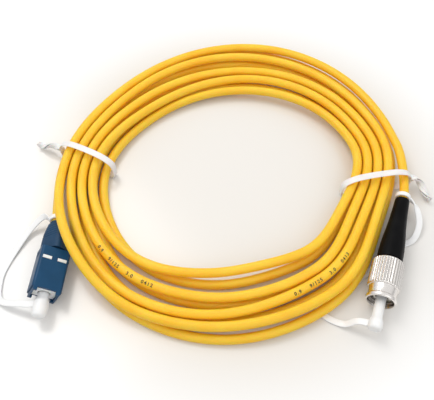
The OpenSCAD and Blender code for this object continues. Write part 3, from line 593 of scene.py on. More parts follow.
# %% Coupling nut
NUT_R, COLLAR_R, RIM_R, NUT_HOLE_R, NUT_WALL = NUT_D / 2, 4.25, 4.65, 3.1, 1.5
KNURL_LENGTH, FLUTES, FLUTE_DEPTH = 9.3, 34, 0.28
THREAD_R, THREAD_PITCH = 4.0, 0.75
THREAD_MINOR_R = THREAD_R - 0.54125 * THREAD_PITCH
THREAD_FROM, THREAD_TO = NUT_TIP - 5.2, NUT_TIP - 0.7
KNURL_END = NUT_BACK + KNURL_LENGTH


def wave(x):
    """Triangle wave: 0 at whole numbers and 1 half way between."""
    return 1 - np.abs(2 * (x - np.floor(x)) - 1)


def nut_radius(z, v, r):
    """Radius of the nut's skin, with its flutes cut and its thread cut."""
    in_knurl = (r > COLLAR_R + 0.05) & (z < KNURL_END)
    fade = rising((z - NUT_BACK - 0.1) / 0.5) * (1 - rising((z - KNURL_END + 0.6) / 0.5))
    flute = FLUTE_DEPTH * fade * np.clip(1.25 * wave(FLUTES * v / (2 * np.pi)) - 0.15, 0, 1)
    in_thread = (r < THREAD_R - 0.05) & (z > THREAD_FROM) & (z < THREAD_TO)
    tooth = np.clip(1.2 * wave(z / THREAD_PITCH - v / (2 * np.pi)) - 0.1, 0, 1)
    run_out = rising((z - THREAD_FROM) / 0.5) * (1 - rising((z - THREAD_TO + 0.3) / 0.3))
    cut = (THREAD_R - THREAD_MINOR_R) * tooth * run_out
    return r - np.where(in_knurl, flute, 0) + np.where(in_thread, cut, 0)


def levels(z0, z1, r, count):
    """Evenly spaced profile points on one radius, none of them rounded."""
    return [(z, r, 0) for z in np.linspace(z0, z1, count)]


nut_profile = rounded_profile(
    [(NUT_BACK, NUT_HOLE_R, 0), (NUT_BACK, 4.45, 0.1)]
    + levels(NUT_BACK + 0.4, NUT_BACK + 0.7, NUT_R, 3)
    + levels(NUT_BACK + 1.2, KNURL_END - 1.0, NUT_R, 8)
    + levels(KNURL_END - 0.6, KNURL_END - 0.35, NUT_R, 3)
    + [(KNURL_END, 4.5, 0.1), (KNURL_END + 0.05, COLLAR_R, 0.1), (NUT_TIP - 1.5, COLLAR_R, 0.2),
       (NUT_TIP - 1.05, RIM_R, 0.15), (NUT_TIP - 0.3, RIM_R, 0.2), (NUT_TIP, 4.4, 0.15),
       (NUT_TIP, 4.02, 0.1), (THREAD_TO + 0.1, THREAD_MINOR_R, 0)]
    + levels(THREAD_TO, THREAD_FROM, THREAD_MINOR_R, 56)
    + [(NUT_BACK + NUT_WALL, THREAD_MINOR_R, 0), (NUT_BACK + NUT_WALL, NUT_HOLE_R, 0.1)], steps=4)
coupling_nut = turned_piece("fc_coupling_nut_skin", nut_profile, at_fc, columns=FLUTES * 8,
                            ring=True, radius_of=nut_radius)


def store_shade_mask(piece):
    """Stores the mask of the nut's painted shade: 0 on the outer skin, 0.55 deep in a flute and 1 inside
    the bore.
    """
    points = np.empty(3 * len(piece.data.vertices))
    piece.data.vertices.foreach_get("co", points)
    local = (points.reshape(-1, 3) / MM - FC_AT) @ FC_TURN
    r, z = np.hypot(local[:, 0], local[:, 1]), local[:, 2]
    in_flute = np.where(z < KNURL_END - 0.3, np.clip((NUT_R - r) / FLUTE_DEPTH, 0, 1), 0)
    in_bore = np.clip((THREAD_R + 0.05 - r) / 0.1, 0, 1)
    depth = piece.data.attributes.new("depth", "FLOAT", "POINT")
    depth.data.foreach_set("value", np.maximum(0.55 * in_flute, in_bore).astype(np.float32))


# The depth mask marks where the nut gets painted shade: its flutes and its bore.
store_shade_mask(coupling_nut)
enrol(coupling_nut, "fc_nut", "nut_nickel", "fc_coupling_nut")

# %% [markdown]
# ## Bands
#
# Straps and ties are flat bands. The section of a band is a superellipse across its path:
# a small power makes it nearly a rectangle with round corners. The ties get a ridge along
# their middle, where the steel wire runs under the plastic.


# %% Bands along a path
RIDGE_HALF = 0.4


def superellipse(v, power):
    """Points of |x|^(2/power) + |y|^(2/power) = 1 for the angles v."""
    return tuple(np.sign(x) * np.abs(x) ** power for x in (np.cos(v), np.sin(v)))


def through(points, steps):
    """Catmull-Rom curve through points, with steps points for each stretch."""
    points = np.asarray(points, float)
    wide = np.concatenate([points[:1], points, points[-1:]])
    a, b, c, d = (wide[k:len(wide) - 3 + k, None] for k in range(4))
    t = (np.arange(steps) / steps)[None, :, None]
    curve = (b + t * (c - a) / 2 + t ** 2 * (2 * a - 5 * b + 4 * c - d) / 2
             + t ** 3 * (3 * b - a - 3 * c + d) / 2)
    return np.concatenate([curve.reshape(-1, 3), points[-1:]])


def band_grid(line, across, width, thick, columns=20, power=0.3, ridge=0.0):
    """Rings of a band: across gives the direction of its width at each point of the line.

    ridge adds that much to the half thickness at the middle and fades over RIDGE_HALF."""
    course = frames_along(line)[0]
    wide = unit(across - (across * course).sum(1)[:, None] * course)
    flat = np.cross(course, wide)
    v = np.linspace(0, 2 * np.pi, columns, endpoint=False) + np.pi / columns
    x, y = superellipse(v, power)
    y = y * (thick / 2 + ridge * np.exp(-(x * width / 2 / RIDGE_HALF) ** 2))
    return (line[:, None] + (x * width / 2)[None, :, None] * wide[:, None]
            + y[None, :, None] * flat[:, None])


def level_side(direction):
    """Level direction to the right of a course."""
    return unit(np.cross(direction, [0, 0, 1.0]))


# %% [markdown]
# A strap leaves its eyelet standing upright, turns flat while it comes down to the table, and
# ends against the side of its cap. Its route is a list of offsets from the plug's own place.

# %% Straps of the dust caps
STRAP_WIDTH, STRAP_THICK, STRAP_STEPS = 2.0, 0.6, 12
EYELET_R, EYELET_HALF = CABLE_D / 2 + 0.6, 0.375
SOFT_GAP = 0.2


def strap(name, points, turn_flat):
    """Band through points that stands upright at its start and lies flat turn_flat stretches on."""
    line = through(points, STRAP_STEPS)
    flat = rising(np.arange(len(line)) / STRAP_STEPS / turn_flat)[:, None]
    across = (1 - flat) * [0, 0, 1.0] + flat * level_side(frames_along(line)[0])
    piece = surface(name, band_grid(line, across, STRAP_WIDTH, STRAP_THICK, power=0.45))
    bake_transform(piece)
    return piece


def eyelet(name, place, direction):
    """Ring of rounded square section round the cable."""
    side = level_side(direction)
    up = np.cross(side, direction)
    v = np.linspace(0, 2 * np.pi, 48, endpoint=False)[:, None, None]
    x, y = superellipse(np.linspace(0, 2 * np.pi, 16, endpoint=False) + 0.2, 0.5)
    radius = CABLE_D / 2 + SOFT_GAP + EYELET_HALF * (1 + x[None, :, None])
    grid = (place + radius * (np.cos(v) * side + np.sin(v) * up)
            + STRAP_THICK * 1.2 * y[None, :, None] * direction)
    return enrol(surface(name, grid, close_rows=True), "cord", "strap_plastic")


sc_eyelet_at = SC_TAIL_END + 1.5 * SC_BOOT_COURSE
sc_left = level_side(SC_FORWARD)
sc_seat = (SC_AT + (SC_LENGTH + SC_PRONG + 1.3 + STRAP_WIDTH / 2 + SOFT_GAP) * SC_FORWARD
           + (4.5 / 2 - 0.15) * sc_left)
sc_route = SC_AT * [1, 1, 0] + [
    (-5.5, 13.6, 4.2), (-10, 10, 1.6), (-14.5, 1, 0.5), (-16.5, -6.5, 0.45), (-15, -14, 1.2)]
sc_strap = strap("sc_cap_strap_band", [
    sc_eyelet_at + EYELET_R * level_side(-SC_BOOT_COURSE), *sc_route,
    sc_seat + 3.5 * sc_left - [0, 0, 0.8], sc_seat], 7 / 4)
sc_eyelet = eyelet("sc_cap_strap_eyelet", sc_eyelet_at, SC_BOOT_COURSE)
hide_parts("sc_cap_strap")

fc_eyelet_at = FC_AT - 1.3 * FC_FORWARD
fc_left = level_side(FC_FORWARD)
fc_seat = FC_AT + (NUT_TIP + 7.5) * FC_FORWARD + (4.3 / 2 - 0.15) * fc_left
fc_route = FC_AT * [1, 1, 0] + [
    (4.4, -2.2, 4), (4.9, -7.5, 2), (2, -12.6, 0.6), (-4.5, -15, 0.45), (-8.8, -19.2, 0.45),
    (-15.5, -25.4, 0.45), (-23.8, -31.9, 0.45), (-29.6, -34.4, 0.45), (-28.2, -38, 0.45),
    (-23.2, -40.7, 0.8)]
fc_strap = strap("fc_cap_strap_band", [
    fc_eyelet_at - EYELET_R * fc_left, *fc_route,
    fc_seat + 3 * fc_left - [0, 0, 1.1], fc_seat], 5 / 3)
fc_eyelet = eyelet("fc_cap_strap_eyelet", fc_eyelet_at, -FC_FORWARD)
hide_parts("fc_cap_strap")
print("straps:", len(sc_strap.data.polygons), "and", len(fc_strap.data.polygons), "faces")

# %% [markdown]
# A tie goes once round the bundle of turns, in an upright plane, and its two ends are
# twisted together outside. The loop is a list of corners in that plane, as (distance
# outwards, height). In the tail the two ends circle round a common middle line, half a
# turn apart, and the band turns with them.

# %% The two ties
TIE_WIDTH, TIE_WIRE_D, TIE_TAIL = 2.2, 0.4, 9.0
TIE_BEND, TIE_BOW, TIE_ROUNDNESS = 1.8, 1.5, 2.7
TIE_SLACK, BAND_THICK, BAND_RIDGE = 0.5, 0.34, 0.17
TIE_TOP = 2 * COIL_FLOOR + LAYER_STEP + TIE_LIFT + TIE_SLACK + TIE_THICK / 2
TIE_BOTTOM = 0.1 + TIE_THICK / 2
TIE_MIDDLE = (TIE_TOP + TIE_BOTTOM) / 2
TIE_OFFSET = TIE_THICK / 2 + 0.1
TAIL_STEPS, TWIST_STEP = 14, 20


def tie_corner(u, z, start):
    """Quarter circle round (u, z) from the angle start onwards."""
    a = np.arange(start, start + 91, 30)
    return np.stack([u + TIE_BEND * cos_deg(a), z + TIE_BEND * sin_deg(a)], 1)


def tie_loop(half):
    """Corners of the loop, from the tail over the bundle and back under it.

    The top is half a superellipse, as high in the middle as the tie's bow."""
    x, y = superellipse(np.radians(np.arange(18, 181, 18)), 2 / TIE_ROUNDNESS)
    bow = np.stack([half * x, TIE_MIDDLE + (TIE_TOP + TIE_BOW - TIE_MIDDLE) * y], 1)
    return np.concatenate([
        [[half + 1, TIE_MIDDLE + TIE_OFFSET], [half + 0.25, TIE_MIDDLE + TIE_OFFSET + 0.25],
         [half, TIE_MIDDLE + TIE_OFFSET + 1]],
        bow,
        tie_corner(TIE_BEND - half, TIE_BOTTOM + TIE_BEND, 180),
        tie_corner(half - TIE_BEND, TIE_BOTTOM + TIE_BEND, 270),
        [[half, TIE_MIDDLE - TIE_OFFSET - 1], [half + 0.25, TIE_MIDDLE - TIE_OFFSET - 0.25],
         [half + 1, TIE_MIDDLE - TIE_OFFSET]]])


def tie_stations(angle, skew, outer_r, inner_r, tail):
    """Points of a tie's middle line and the direction of its width at each."""
    out = np.array([cos_deg(angle + skew), sin_deg(angle + skew), 0])
    half = (outer_r - inner_r) / 2 / cos_deg(skew) + TIE_THICK / 2
    centre = (outer_r + inner_r) / 2 * np.array([cos_deg(angle), sin_deg(angle), 0])
    root = centre + (half + 1) * out + [0, 0, TIE_MIDDLE]
    tip = root + TIE_TAIL * tail - [0, 0, TIE_MIDDLE - 1.5]

    def tail_part(part):
        k = np.arange(1, TAIL_STEPS + 1)
        t = k / TAIL_STEPS
        ahead, behind, here = (bezier(root, root + TIE_TAIL / 3 * out, tip - TIE_TAIL / 3 * tail, tip, x)
                               for x in (t + 0.01, t - 0.01, t))
        course = unit(ahead - behind)
        side = level_side(course)
        top = np.cross(side, course)
        c, s = cos_deg(TWIST_STEP * k)[:, None], sin_deg(TWIST_STEP * k)[:, None]
        return here + part * TIE_OFFSET * (c * top - s * side), c * side + s * top

    first, first_across = tail_part(1)
    last, last_across = tail_part(-1)
    loop = tie_loop(half)
    middle = centre + loop[:, :1] * out + loop[:, 1:] * [0, 0, 1.0]
    across = np.broadcast_to(level_side(out), middle.shape)
    return (np.concatenate([first[::-1], middle, last]),
            np.concatenate([first_across[::-1], across, last_across]))


def tie(side_name, *shape):
    """The plastic band of a tie and the steel wire in it."""
    points, across = tie_stations(*shape)
    line, turned_across = through(points, 4), unit(through(across, 4))
    band = surface(side_name + "_tie_coat", band_grid(line, turned_across, TIE_WIDTH, BAND_THICK,
                                                      power=0.4, ridge=BAND_RIDGE))
    core = surface(side_name + "_tie_core", band_grid(line, turned_across, TIE_WIRE_D, TIE_WIRE_D,
                                                      columns=8, power=1))
    return (enrol(band, "cord", "tie_plastic", side_name + "_tie_band"),
            enrol(core, "cord", "tie_steel", side_name + "_tie_wire"))


def tie_ends(angle, outer, inner):
    """Outer and inner radius of a tie at an angle, clear of the turns by the two margins."""
    return outline_r(angle) + outer, outline_r(angle) - LAYER_TURNS * turn_pitch(angle) - inner


left_tie, left_core = tie("left", LEFT_TIE_AT, -18, *tie_ends(LEFT_TIE_AT, 2.5, 2.8),
                          unit([-1, 0.4, 0]))
right_tie, right_core = tie("right", RIGHT_TIE_AT, 14.4, *tie_ends(RIGHT_TIE_AT, 4.4, 3.7),
                            unit([0.75, -1, 0]))

# %% [markdown]
# The cable comes out of the square plug's boot, winds round and goes back into the round
# plug's boot.

# %% [markdown]
# ## The square plug
#
# Its boot starts as a rounded rectangle inside the grip and ends as a round tail on the
# cable. Each ring across its bent middle line is a superellipse whose power slides from
# square to round. Shallow grooves let the real one flex, so they are cut here too.

# %% Boot of the square plug
BOOT_AT = [0.03, 0.2, 0.45, 0.7, 0.9, 1]
BOOT_W = [8.2, 8.2, 8.1, 7.7, 6.5, 5.6]
BOOT_H = [6.6, 6.6, 6.2, 5.6, 5.1, 4.7]
BOOT_POWER = [0.5, 0.5, 0.55, 0.65, 0.85, 1]
BOOT_GROOVES, GROOVE_DEPTH, GROOVES_FROM, GROOVES_TO = 5, 0.05, 0.42, 0.9
TAIL_R = 2.0


def eased(t, places, values):
    """Value at t between the given ones, softened by averaging over a tenth of the boot."""
    window = np.linspace(-0.05, 0.05, 7)
    return np.interp(np.clip(t[:, None] + window, places[0], places[-1]), places, values).mean(1)


def sc_ring(place, course, w, h, power, columns=48):
    """Ring of a superellipse that is rolled with the plug."""
    flat = level_side(course)
    rise = np.cross(flat, course)
    side = cos_deg(SC_ROLL) * flat + sin_deg(SC_ROLL) * rise
    top = np.cross(side, course)
    x, y = superellipse(np.linspace(0, 2 * np.pi, columns, endpoint=False) + 0.01, power)
    return place + (w / 2 * x)[:, None] * side + (h / 2 * y)[:, None] * top


boot_t = np.linspace(BOOT_AT[0], 1, 90)
grooved = (boot_t > GROOVES_FROM) & (boot_t < GROOVES_TO)
groove_wave = wave((boot_t - GROOVES_FROM) / (GROOVES_TO - GROOVES_FROM) * BOOT_GROOVES)
groove = 1 - GROOVE_DEPTH * np.where(grooved, groove_wave ** 3, 0)
boot_course = unit(sc_boot_line(np.minimum(1, boot_t + 0.01)) - sc_boot_line(boot_t - 0.01))
boot_rings = [sc_ring(*ring) for ring in zip(
    sc_boot_line(boot_t), boot_course, eased(boot_t, BOOT_AT, BOOT_W) * groove,
    eased(boot_t, BOOT_AT, BOOT_H) * groove, eased(boot_t, BOOT_AT, BOOT_POWER))]
tail_profile = rounded_profile([
    (0.0, 2.4, 0), (0.3, TAIL_R, 0.1), (SC_TAIL, TAIL_R, 0.3), (SC_TAIL, CABLE_BORE_R, 0.12),
    (SC_TAIL - 0.8, CABLE_BORE_R, 0)])
boot_rings += [sc_ring(SC_BOOT_END + z * SC_BOOT_COURSE, SC_BOOT_COURSE, 2 * r, 2 * r, 1)
               for z, r in tail_profile[1:]]
sc_boot = enrol(surface("sc_boot_skin", np.array(boot_rings)), "cord", "blue_rubber", "sc_boot")

# %% [markdown]
# The springs behind the ferrules are round wire here, where the frame has a rougher
# stand-in.

# %% Ferrule springs
SPRING_R, SPRING_WIRE, SPRING_CURLS, FLOAT = 1.5, 0.4, 4, 0.8
SC_STOP_AT, FLANGE_FACE = 1.5, 0.6


def ferrule_spring(name, node, place, start, stop):
    """Helix of round wire from start to stop along a plug's axis."""
    inset = SPRING_WIRE / 2 + 0.1
    t = np.linspace(0, 1, SPRING_CURLS * 24 + 1)
    angle = 360 * SPRING_CURLS * t
    helix = np.stack([SPRING_R * cos_deg(angle), SPRING_R * sin_deg(angle),
                      start + inset + (stop - start - 2 * inset) * t], 1)
    piece = surface(name, ring_grid(place(helix), SPRING_WIRE / 2, 10))
    enrol(piece, "cord", "spring_steel", node)
    anchor = place(np.array([[0, 0, start]]))[0] * MM
    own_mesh(piece)
    return piece


sc_spring = ferrule_spring("sc_spring_wire", "sc_spring", at_sc,
                           SC_STOP_AT, SC_FERRULE_BACK - FLANGE_FACE)
fc_spring = ferrule_spring("fc_spring_wire", "fc_spring", at_fc,
                           NUT_BACK - 2.0, FC_FERRULE_BACK - FLANGE_FACE)

# %% [markdown]
# The tight buffer round the fibre is held by the cord at its back and by the ferrule at its
# front. It is a turned rod whose front end is bored for the bare fibre.

# %% Tight buffers
BUFFER_R, FIBRE_BORE_R, FIBRE_GRIP, BUFFER_GAP = 0.45, 0.0725, 0.9, 0.1
SC_BUFFER_FROM = -4.1


def tight_buffer(name, node, place, start, stop):
    """Rod from start to stop along a plug's axis, bored FIBRE_GRIP deep at its front."""
    bore_end = stop - FIBRE_GRIP
    profile = np.array([(start, 0), (start, BUFFER_R), (stop, BUFFER_R), (stop, FIBRE_BORE_R),
                        (bore_end, FIBRE_BORE_R), (bore_end, 0)])
    piece = turned_piece(name, profile, place, columns=24)
    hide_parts(node)
    held, free = place(np.array([[0, 0, start], [0, 0, bore_end]])) * MM
    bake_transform(piece)
    return piece


sc_buffer = tight_buffer("sc_buffer_rod", "sc_buffer", at_sc,
                         SC_BUFFER_FROM, SC_FERRULE_BACK - BUFFER_GAP)
fc_buffer = tight_buffer("fc_buffer_rod", "fc_buffer", at_fc,
                         FC_JACKET_END + BUFFER_GAP, FC_FERRULE_BACK - BUFFER_GAP)
print("buffers:", len(sc_buffer.data.polygons), "faces each")

# %% [markdown]
# The grip, its two bars and the plug frames keep the frame's own shapes. Moulded and turned
# edges are never knife-sharp, so each gets a small rounding: points are welded, flat
# triangles joined, and every edge sharper than 30 degrees is bevelled.


# %% Round the edges of the frame's own pieces
FLAT_WITHIN, SHARP_ABOVE, SAME_PLACE = math.radians(1), math.radians(30), 1e-6


def soften_edges(node, width_mm):
    """Bevels the sharp edges of a piece of the frame with modifiers, its mesh left as it is."""
    piece = frame["nodes"][node]
    piece.modifiers.new("weld", "WELD").merge_threshold = SAME_PLACE
    flat = piece.modifiers.new("join flat faces", "DECIMATE")
    flat.decimate_type = "DISSOLVE"
    flat.angle_limit = FLAT_WITHIN
    bevel = piece.modifiers.new("rounded edges", "BEVEL")
    bevel.width = width_mm * MM
    bevel.segments = 3
    bevel.limit_method = "ANGLE"
    bevel.angle_limit = SHARP_ABOVE
    bevel.harden_normals = True
    for face in piece.data.polygons:
        face.use_smooth = True


EDGE_WIDTHS = {
    "sc_grip": 0.16, "sc_position_bars": 0.05, "sc_plug_frame": 0.1, "fc_plug_frame": 0.06}
for node, width_mm in EDGE_WIDTHS.items():
    soften_edges(node, width_mm)
print("edges rounded, in mm:", EDGE_WIDTHS)

# %% [markdown]
# ## Finishes
#
# Every finish starts from the same shader and gets small, slow changes of colour and
# roughness, because nothing real is perfectly even. All patterns read Object coordinates in
# metres, so a scale of 1000 gives spots a millimetre apart.


# %% Building blocks for finishes
TINT_FROM, TINT_TO = 0.35, 0.65
GLOSS_FROM, GLOSS_TO = 0.3, 0.7


def shader_of(tree):
    """The one Principled shader of a finish."""
    return tree.nodes["Principled BSDF"]


def noise_of(tree, scale, detail, stretch=(1, 1, 1), turn=(0, 0, 0), source="Object"):
    """Noise on Object coordinates or UV, stretched and turned by a Mapping node."""
    where = tree.nodes.new("ShaderNodeTexCoord")
    mapping = tree.nodes.new("ShaderNodeMapping")
    mapping.inputs["Scale"].default_value = stretch
    mapping.inputs["Rotation"].default_value = turn
    noise = tree.nodes.new("ShaderNodeTexNoise")
    noise.inputs["Scale"].default_value = scale
    noise.inputs["Detail"].default_value = detail
    tree.links.new(where.outputs[source], mapping.inputs["Vector"])
    tree.links.new(mapping.outputs["Vector"], noise.inputs["Vector"])
    return noise.outputs["Fac"]


def span_of(tree, value, **ends):
    """Node that maps a value from one span to another, its ends given as From_Min and so on."""
    spread = tree.nodes.new("ShaderNodeMapRange")
    for socket, number in ends.items():
        spread.inputs[socket.replace("_", " ")].default_value = number
    tree.links.new(value, spread.inputs["Value"])
    return spread


def colour_by(tree, noise, colours):
    """Base colour that runs through the given colours as the noise grows."""
    ramp = tree.nodes.new("ShaderNodeValToRGB")
    stops = ramp.color_ramp.elements
    for k, place in enumerate(np.linspace(TINT_FROM, TINT_TO, len(colours))):
        stop = stops[k] if k < 2 else stops.new(place)
        stop.position = place
    for stop, colour in zip(stops, colours):
        stop.color = (*colour, 1)
    tree.links.new(noise, ramp.inputs["Fac"])
    tree.links.new(ramp.outputs["Color"], shader_of(tree).inputs["Base Color"])


def roughness_by(tree, noise, smoothest, roughest):
    """Roughness that follows the noise between two values."""
    spread = span_of(tree, noise, From_Min=GLOSS_FROM, From_Max=GLOSS_TO,
                     To_Min=smoothest, To_Max=roughest)
    tree.links.new(spread.outputs["Result"], shader_of(tree).inputs["Roughness"])


def bump_by(tree, noise, height_mm, strength=1.0):
    """A bump as high as height_mm where the noise is strongest."""
    bump = tree.nodes.new("ShaderNodeBump")
    bump.inputs["Distance"].default_value = height_mm * MM
    bump.inputs["Strength"].default_value = strength
    tree.links.new(noise, bump.inputs["Height"])
    tree.links.new(bump.outputs["Normal"], shader_of(tree).inputs["Normal"])


def new_finish(name, colours=(), tint=(), gloss=(), grain=(), stretch=(1, 1, 1), **sockets):
    """A finish whose colour, roughness and bump each follow a noise of their own.

    tint is (scale, detail) of the colour's noise, gloss is (scale, detail, smoothest,
    roughest), and grain is (scale, detail, height in mm, strength). The other sockets are
    set to plain numbers."""
    finish = bpy.data.materials.new(name)
    finish.use_nodes = True
    tree = finish.node_tree
    for socket, value in sockets.items():
        shader_of(tree).inputs[socket.replace("_", " ")].default_value = value
    if colours:
        colour_by(tree, noise_of(tree, *tint, stretch), colours)
    if gloss:
        roughness_by(tree, noise_of(tree, *gloss[:2], stretch), *gloss[2:])
    if grain:
        bump_by(tree, noise_of(tree, *grain[:2], stretch), *grain[2:])
    return finish


def put_on(finish, *pieces):
    """Gives pieces, new or of the frame, one finish all over."""
    for piece in pieces:
        piece.data.materials.clear()
        piece.data.materials.append(finish)


# %% [markdown]
# The jacket is soft yellow vinyl. Light goes a little way into it, which warms the places
# where two turns face each other, and the extruder leaves very fine lines along it.

# %% The jacket's finish
yellows = [(1.0, 0.56, 0.025), (1.0, 0.595, 0.035), (1.0, 0.625, 0.045)]
jacket = new_finish("yellow vinyl jacket", yellows, (90, 4), (700, 2, 0.38, 0.5),
                    Specular_IOR_Level=0.4, Subsurface_Weight=0.7, Subsurface_Scale=0.0022,
                    Subsurface_Radius=(1.0, 0.35, 0.05))
fine_lines = noise_of(jacket.node_tree, 1, 2, stretch=(60, 90, 1), source="UV")
bump_by(jacket.node_tree, fine_lines, 0.012)
put_on(jacket, patch_cable)

ink = new_finish("printing ink", [(0.012, 0.01, 0.008), (0.05, 0.03, 0.012)], (2500, 3),
                 Roughness=0.5)
put_on(ink, *legends)

# %% [markdown]
# The grip and its boot are the same dark blue. The grip is hard and has a faint spark-eroded
# grain. The boot is softer and duller.

# %% Blue and white plastics
blues = [(0.004, 0.05, 0.12), (0.006, 0.058, 0.14), (0.008, 0.066, 0.155)]
blue = new_finish("blue moulded plastic", blues, (120, 4), (900, 3, 0.3, 0.42),
                  (5000, 2, 0.012, 0.6), Specular_IOR_Level=0.25)
put_on(blue, frame["nodes"]["sc_grip"])

blue_rubber = new_finish("blue soft moulding", [(0.006, 0.042, 0.1), (0.009, 0.054, 0.125)], (150, 4),
                         (800, 3, 0.42, 0.6), (4000, 3, 0.015, 0.6), Specular_IOR_Level=0.3)
put_on(blue_rubber, sc_boot)

white = new_finish("white moulded plastic", [(0.83, 0.84, 0.83), (0.88, 0.89, 0.88)], (200, 3),
                   (900, 3, 0.28, 0.42), Specular_IOR_Level=0.5, Subsurface_Weight=0.1,
                   Subsurface_Scale=0.001)
put_on(white, frame["nodes"]["sc_position_bars"], frame["nodes"]["sc_plug_frame"])

# %% [markdown]
# The caps and straps are milky soft plastic: light enters them and comes out a millimetre or
# two further on, which is what makes thin parts glow and thick parts look white.

# %% Milky and coated plastics
milky = new_finish("milky soft plastic", [(0.88, 0.88, 0.87), (0.92, 0.92, 0.91)], (160, 4),
                   (700, 3, 0.28, 0.42), (1800, 2, 0.01, 0.5), Specular_IOR_Level=0.4,
                   Subsurface_Weight=0.6, Subsurface_Scale=0.0016, Subsurface_Radius=(1.0, 0.95, 0.9))
put_on(milky, sc_cap, fc_cap)

thin_milky = new_finish("thin milky strap", [(0.94, 0.945, 0.94), (0.98, 0.98, 0.975)], (160, 4),
                        (700, 3, 0.3, 0.45), (1800, 2, 0.01, 0.5), Specular_IOR_Level=0.35,
                        Subsurface_Weight=0.3, Subsurface_Scale=0.0008,
                        Subsurface_Radius=(1.0, 0.97, 0.95))
put_on(thin_milky, sc_strap, fc_strap, sc_eyelet, fc_eyelet)

tie_coat = new_finish("white tie coating", [(0.84, 0.82, 0.80), (0.90, 0.89, 0.88)], (300, 4),
                      (1200, 2, 0.35, 0.5), (900, 3, 0.03, 0.5), Specular_IOR_Level=0.45,
                      Subsurface_Weight=0.15, Subsurface_Scale=0.0008)
put_on(tie_coat, left_tie, right_tie)

# %% [markdown]
# The round boot is black rubber that has been handled, so its gloss is uneven.

# %% Black rubber
black_rubber = new_finish("black rubber", [(0.002, 0.002, 0.0025), (0.005, 0.005, 0.0055)], (140, 4),
                          (600, 4, 0.3, 0.46), (3500, 3, 0.012, 0.6), Specular_IOR_Level=0.08)
put_on(black_rubber, fc_boot)

# %% [markdown]
# Nickel plate is a bright metal with a faintly warm grey. Turned pieces keep fine marks that
# run round their axis, so the noise is squeezed along that axis: a Mapping node turns the
# axis of the round plug onto Z and stretches there.

# %% Metals
ROUND_PLUG_TURN = (math.pi / 2, 0, math.radians(FC_HEADING))


def metal(name, colours, smoothest, roughest, marks_mm=0.0):
    """A bare metal finish with turning marks of the given height."""
    finish = new_finish(name, colours, (250, 4), (900, 4, smoothest, roughest), Metallic=1.0)
    if marks_mm:
        marks = noise_of(finish.node_tree, 40, 2, stretch=(1, 1, 120), turn=ROUND_PLUG_TURN)
        bump_by(finish.node_tree, marks, marks_mm, 0.5)
    return finish


def paint_shade_by_depth(tree, most):
    """Painted shade: takes up to that share off the colour where a piece's depth attribute says 1,
    and a little more off green and blue than off red."""
    painted = shader_of(tree).inputs["Base Color"].links[0].from_socket
    depth = tree.nodes.new("ShaderNodeAttribute")
    depth.attribute_name = "depth"
    painted_shade = tree.nodes.new("ShaderNodeMix")
    painted_shade.data_type = "RGBA"
    painted_shade.blend_type = "MULTIPLY"
    painted_shade.inputs["B"].default_value = (1 - most, 1 - most * 1.03, 1 - most * 1.06, 1)
    tree.links.new(depth.outputs["Fac"], painted_shade.inputs["Factor"])
    tree.links.new(painted, painted_shade.inputs["A"])
    tree.links.new(painted_shade.outputs["Result"], shader_of(tree).inputs["Base Color"])


nut_nickel = metal("bright nickel plate", [(0.84, 0.80, 0.77), (0.90, 0.87, 0.84)], 0.2, 0.28, 0.0015)
# Painted shade darkens the nut's colour in its flutes and, most of all, inside its bore.
paint_shade_by_depth(nut_nickel.node_tree, 0.62)
nickel = metal("turned nickel", [(0.70, 0.69, 0.66), (0.78, 0.77, 0.74)], 0.18, 0.3, 0.004)
spring_steel = metal("spring steel", [(0.5, 0.5, 0.5), (0.62, 0.62, 0.62)], 0.25, 0.38)
sleeve_metal = metal("crimp sleeve metal", [(0.66, 0.64, 0.6), (0.74, 0.72, 0.68)], 0.25, 0.36, 0.006)
tie_steel = metal("annealed wire", [(0.3, 0.3, 0.31), (0.42, 0.42, 0.43)], 0.35, 0.5)
put_on(nut_nickel, coupling_nut)
put_on(spring_steel, sc_spring, fc_spring)
put_on(tie_steel, left_core, right_core)

# %% [markdown]
# The rest sits inside the plugs: white ceramic ferrules, the ivory buffer, glass, and golden
# strength yarn with its strands running along the plug.

# %% Finishes of the inner pieces
zirconia = new_finish("polished zirconia", [(0.84, 0.84, 0.82), (0.88, 0.88, 0.86)], (400, 3),
                      (1500, 2, 0.08, 0.16), Specular_IOR_Level=0.7, Subsurface_Weight=0.2,
                      Subsurface_Scale=0.0006)
ivory = new_finish("ivory buffer", [(0.80, 0.76, 0.66), (0.86, 0.82, 0.73)], (500, 3),
                   (1500, 2, 0.35, 0.5), Subsurface_Weight=0.2, Subsurface_Scale=0.0005)
glass = new_finish("bare glass fibre", [(0.88, 0.93, 0.95), (0.93, 0.96, 0.97)], (900, 2),
                   (3000, 2, 0.02, 0.07), Transmission_Weight=0.9, IOR=1.46)
aramid = new_finish("strength yarn", [(0.50, 0.33, 0.06), (0.72, 0.52, 0.14)], (3000, 3),
                    (3000, 3, 0.5, 0.7), (3000, 3, 0.05), stretch=(1, 0.05, 1), Sheen_Weight=0.3)
put_on(ivory, sc_buffer, fc_buffer)

INNER_FINISHES = {
    "zirconia": zirconia, "nickel": nickel, "spring_steel": spring_steel, "sleeve_metal": sleeve_metal,
    "buffer_plastic": ivory, "glass_fibre": glass, "aramid": aramid}
inner = [row for row in frame["record"]["subparts"] if row["material_slot"] in INNER_FINISHES]
for row in inner:
    put_on(INNER_FINISHES[row["material_slot"]], frame["nodes"][row["node"]])
print("inner pieces dressed:", len(inner))
